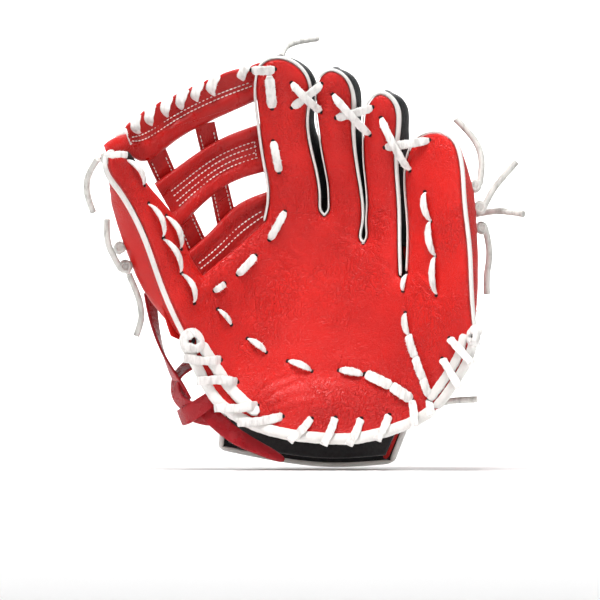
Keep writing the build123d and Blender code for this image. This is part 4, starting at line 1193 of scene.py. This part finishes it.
TIE_UNDER = ([(-88, -20, 16), (-80, -27, 12), (-70, -27, 10), (-63, -22, 12)],
    [(-0.6, -0.8, 0), (0, -1, 0), (0, -1, 0), (0.6, -0.8, 0)], 13, 3.0)
TIE_END = ([(-76, -30, 16), (-66, -32, 8), (-54, -33, -2), (-36, -33, -12), (-18, -32, -20.5)],
    [(0.1, -1, 0.1), (0.2, -0.95, 0.25), (0.15, -0.9, 0.4), (0.1, -0.95, 0.3)], 12, 2.2, 0.45)
TIES = {"tie_strap_run": ("tie_strap", TIE_RUN, TIE_LOOP), "tie_strap_wrap": ("tie_knot", TIE_WRAP, TIE_UNDER),
    "tie_strap_tail": ("tie_strap_end", TIE_END)}
for name, (node, *lengths) in TIES.items():
    skin = joined([ribbon(*facts) for facts in lengths])
    piece(name, skin, CRIMSON, "palm", nodes=(node,))

# Small knots that the loose ends come out of, each a lump of wound lace: centre, size and body.
TAIL_KNOTS = {
    "pinky_upper_knot": ((114.5, -45.5, 170), 6.4, "pinky"), "pinky_side_knot": ((118, -45, 155), 7.0, "pinky"),
    "pinky_lower_knot": ((119, -43, 141), 6.2, "pinky"), "thumb_side_knot": ((-128, -44.5, 114), 7.2, "thumb"),
    "thumb_upper_knot": ((-132, -46, 127), 6.4, "thumb"), "thumb_tip_knot": ((-140.5, -95, 188), 5.6, "thumb"),
}


def wound(centre, size, seed):
    """Two crossing turns of lace drawn tight round a core."""
    parts = []
    for k, (lean, turn, grow) in enumerate(((0.3, 0.0, 1.0), (1.3, 1.1, 1.08), (-0.7, 2.2, 0.94))):
        a = np.linspace(0.2, 2 * math.pi - 0.3, 30) + seed + turn
        one = unit(np.array([math.cos(lean), 0.35, math.sin(lean)]))
        two = unit(np.cross(one, (0.2, 1.0, -0.3)))
        up = np.cross(one, two)
        r = size * 0.50 * grow * (1 + 0.08 * np.sin(2 * a))
        path = np.array(centre) + np.outer(r * np.cos(a), one) + np.outer(r * 0.85 * np.sin(a),
            two) + np.outer(0.5 * np.sin(a + k), up)
        parts.append(sweep(path, path - np.array(centre), size * 0.40, 1.1, 12, 3.0))
        parts += fibres(parts[-1], 12, 8, 1.2)
    core = np.array(centre) + np.array([[0.0, 0.0, v * size] for v in np.linspace(-0.62, 0.62, 9)])
    swell = size * 0.5 * np.sqrt(1 - np.linspace(-0.96, 0.96, 9) ** 2) + 0.2
    parts.append(sweep(core, TO_VIEWER, swell * 0.85, swell * 0.7, 12, 2.4, False))
    return parts


for k, (name, (centre, size, body)) in enumerate(TAIL_KNOTS.items()):
    piece(f"{name}_turns", joined(wound(centre, size, 0.7 * k)), TAIL, body, smooth=50)

# Loose lace ends.
for name, route in TAILS.items():
    curve = bpy.data.curves.new(f"{name}_lace", "CURVE")
    curve.dimensions = "3D"
    curve.resolution_u = 10
    curve.bevel_depth = TAIL_WIDTH * MM / 2
    curve.bevel_resolution = 4
    curve.use_fill_caps = True
    line = curve.splines.new("NURBS")
    line.points.add(len(route) - 1)
    for point, place in zip(line.points, route):
        point.co = (*[c * MM for c in place], 1.0)
    line.order_u = 3
    line.use_endpoint_u = True
    curve.materials.append(TAIL)
    obj = add_object(f"{name}_lace", curve)
    body = "thumb" if name.startswith("thumb") else "palm" if name.startswith("index") else "pinky"
    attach(obj, body)
    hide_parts(name)

# Floor, backdrop, light and camera.
floor_mat, tree, surface, place = shader("studio_floor", 0.85, 0.2)
tree.links.new(mixed(tree, ranged(tree, noise(tree, place, 3.0, 3.0), 0.3, 0.7), (0.93, 0.93, 0.93, 1),
        (0.95, 0.95, 0.95, 1)), surface.inputs["Base Color"])
FLOOR = cad_bounds[0][2] - 0.0005
FLOOR_REACH, FLOOR_BEND, WALL, FLOOR_SIDES = 6.4, 0.9, 2.2, 72
rings = [(r, 0.0) for r in (0.4, 1.2, 3.0, FLOOR_REACH)]
for a in np.linspace(0, math.pi / 2, 12)[1:]:
    rings.append((FLOOR_REACH + FLOOR_BEND * math.sin(a), FLOOR_BEND * (1 - math.cos(a))))
rings.append((FLOOR_REACH + FLOOR_BEND, WALL))
around = np.arange(FLOOR_SIDES) * 2 * math.pi / FLOOR_SIDES
points = [(r * math.cos(a), r * math.sin(a), FLOOR + z) for r, z in rings for a in around]
faces = [tuple(range(FLOOR_SIDES))]
for k in range(len(rings) - 1):
    for i in range(FLOOR_SIDES):
        j = (i + 1) % FLOOR_SIDES
        faces.append((k * FLOOR_SIDES + i, (k + 1) * FLOOR_SIDES + i, (k + 1) * FLOOR_SIDES + j, k * FLOOR_SIDES + j))
mesh = bpy.data.meshes.new("studio_floor")
mesh.from_pydata(points, [], faces)
mesh.materials.append(floor_mat)
mesh.polygons.foreach_set("use_smooth", [True] * len(mesh.polygons))
add_object("studio_floor", mesh)

world = bpy.data.worlds.new("studio")
world.use_nodes = True
world.node_tree.nodes["Background"].inputs["Color"].default_value = (1.0, 1.0, 1.0, 1)
world.node_tree.nodes["Background"].inputs["Strength"].default_value = 0.09
bpy.context.scene.world = world


def lamp(name, place, aim, size, power):
    data = bpy.data.lights.new(name, "AREA")
    data.shape = "RECTANGLE"
    data.size, data.size_y = size
    data.energy = power
    obj = add_object(name, data)
    obj.location = place
    obj.rotation_euler = (Vector(aim) - Vector(place)).to_track_quat("-Z", "Y").to_euler()


TARGET = (0.0, -0.04, 0.11)
lamp("overhead_softbox", (-0.12, -0.40, 1.1), TARGET, (0.62, 0.34), 19)
lamp("front_fill", (0.9, -2.2, 0.9), TARGET, (1.0, 1.0), 1.0)
lamp("back_fill", (0.5, 1.6, 1.2), TARGET, (1.0, 0.8), 7)
# The wall and floor washes keep the surroundings white from every side: direction, then their powers.
WASH_PLACE, WASH_HEIGHT, WASH_AIM = 5.4, 2.1, (7.2, 0.2)
FLOOR_WASH_PLACE, FLOOR_WASH_HEIGHT = 3.6, 1.6
WASHES = {"far": (0.0, 1.0, 110, 110), "near": (0.0, -1.0, 45, 0), "left": (-1.0, 0.0, 90, 45),
    "right": (1.0, 0.0, 90, 45)}
for side, (x, y, wall, ground) in WASHES.items():
    aim, aim_height = WASH_AIM
    lamp(f"{side}_wall_wash", (WASH_PLACE * x, WASH_PLACE * y, WASH_HEIGHT), (aim * x, aim * y, aim_height),
        (3.0, 0.6), wall)
    if ground:
        spot = (FLOOR_WASH_PLACE * x, FLOOR_WASH_PLACE * y)
        lamp(f"{side}_floor_wash", (*spot, FLOOR_WASH_HEIGHT), (*spot, 0.0), (2.6, 3.0), ground)
lamp("floor_wash", (0.0, -1.8, 0.5), (0.0, -1.8, 0.0), (2.2, 1.3), 7)

# A long lens, level with the middle of the glove.
VIEW_PLACE = (-0.007, -4.67, 0.091)
LENS, SENSOR, CLIP_END = 400, 36, 50
camera = bpy.data.cameras.new("photo_view")
camera.lens, camera.sensor_width = LENS, SENSOR
camera.clip_end = CLIP_END
view = add_object("photo_view", camera)
view.location = VIEW_PLACE
view.rotation_euler = (math.pi / 2, 0, 0)
bpy.context.scene.camera = view
bpy.context.scene.view_settings.view_transform = "Standard"
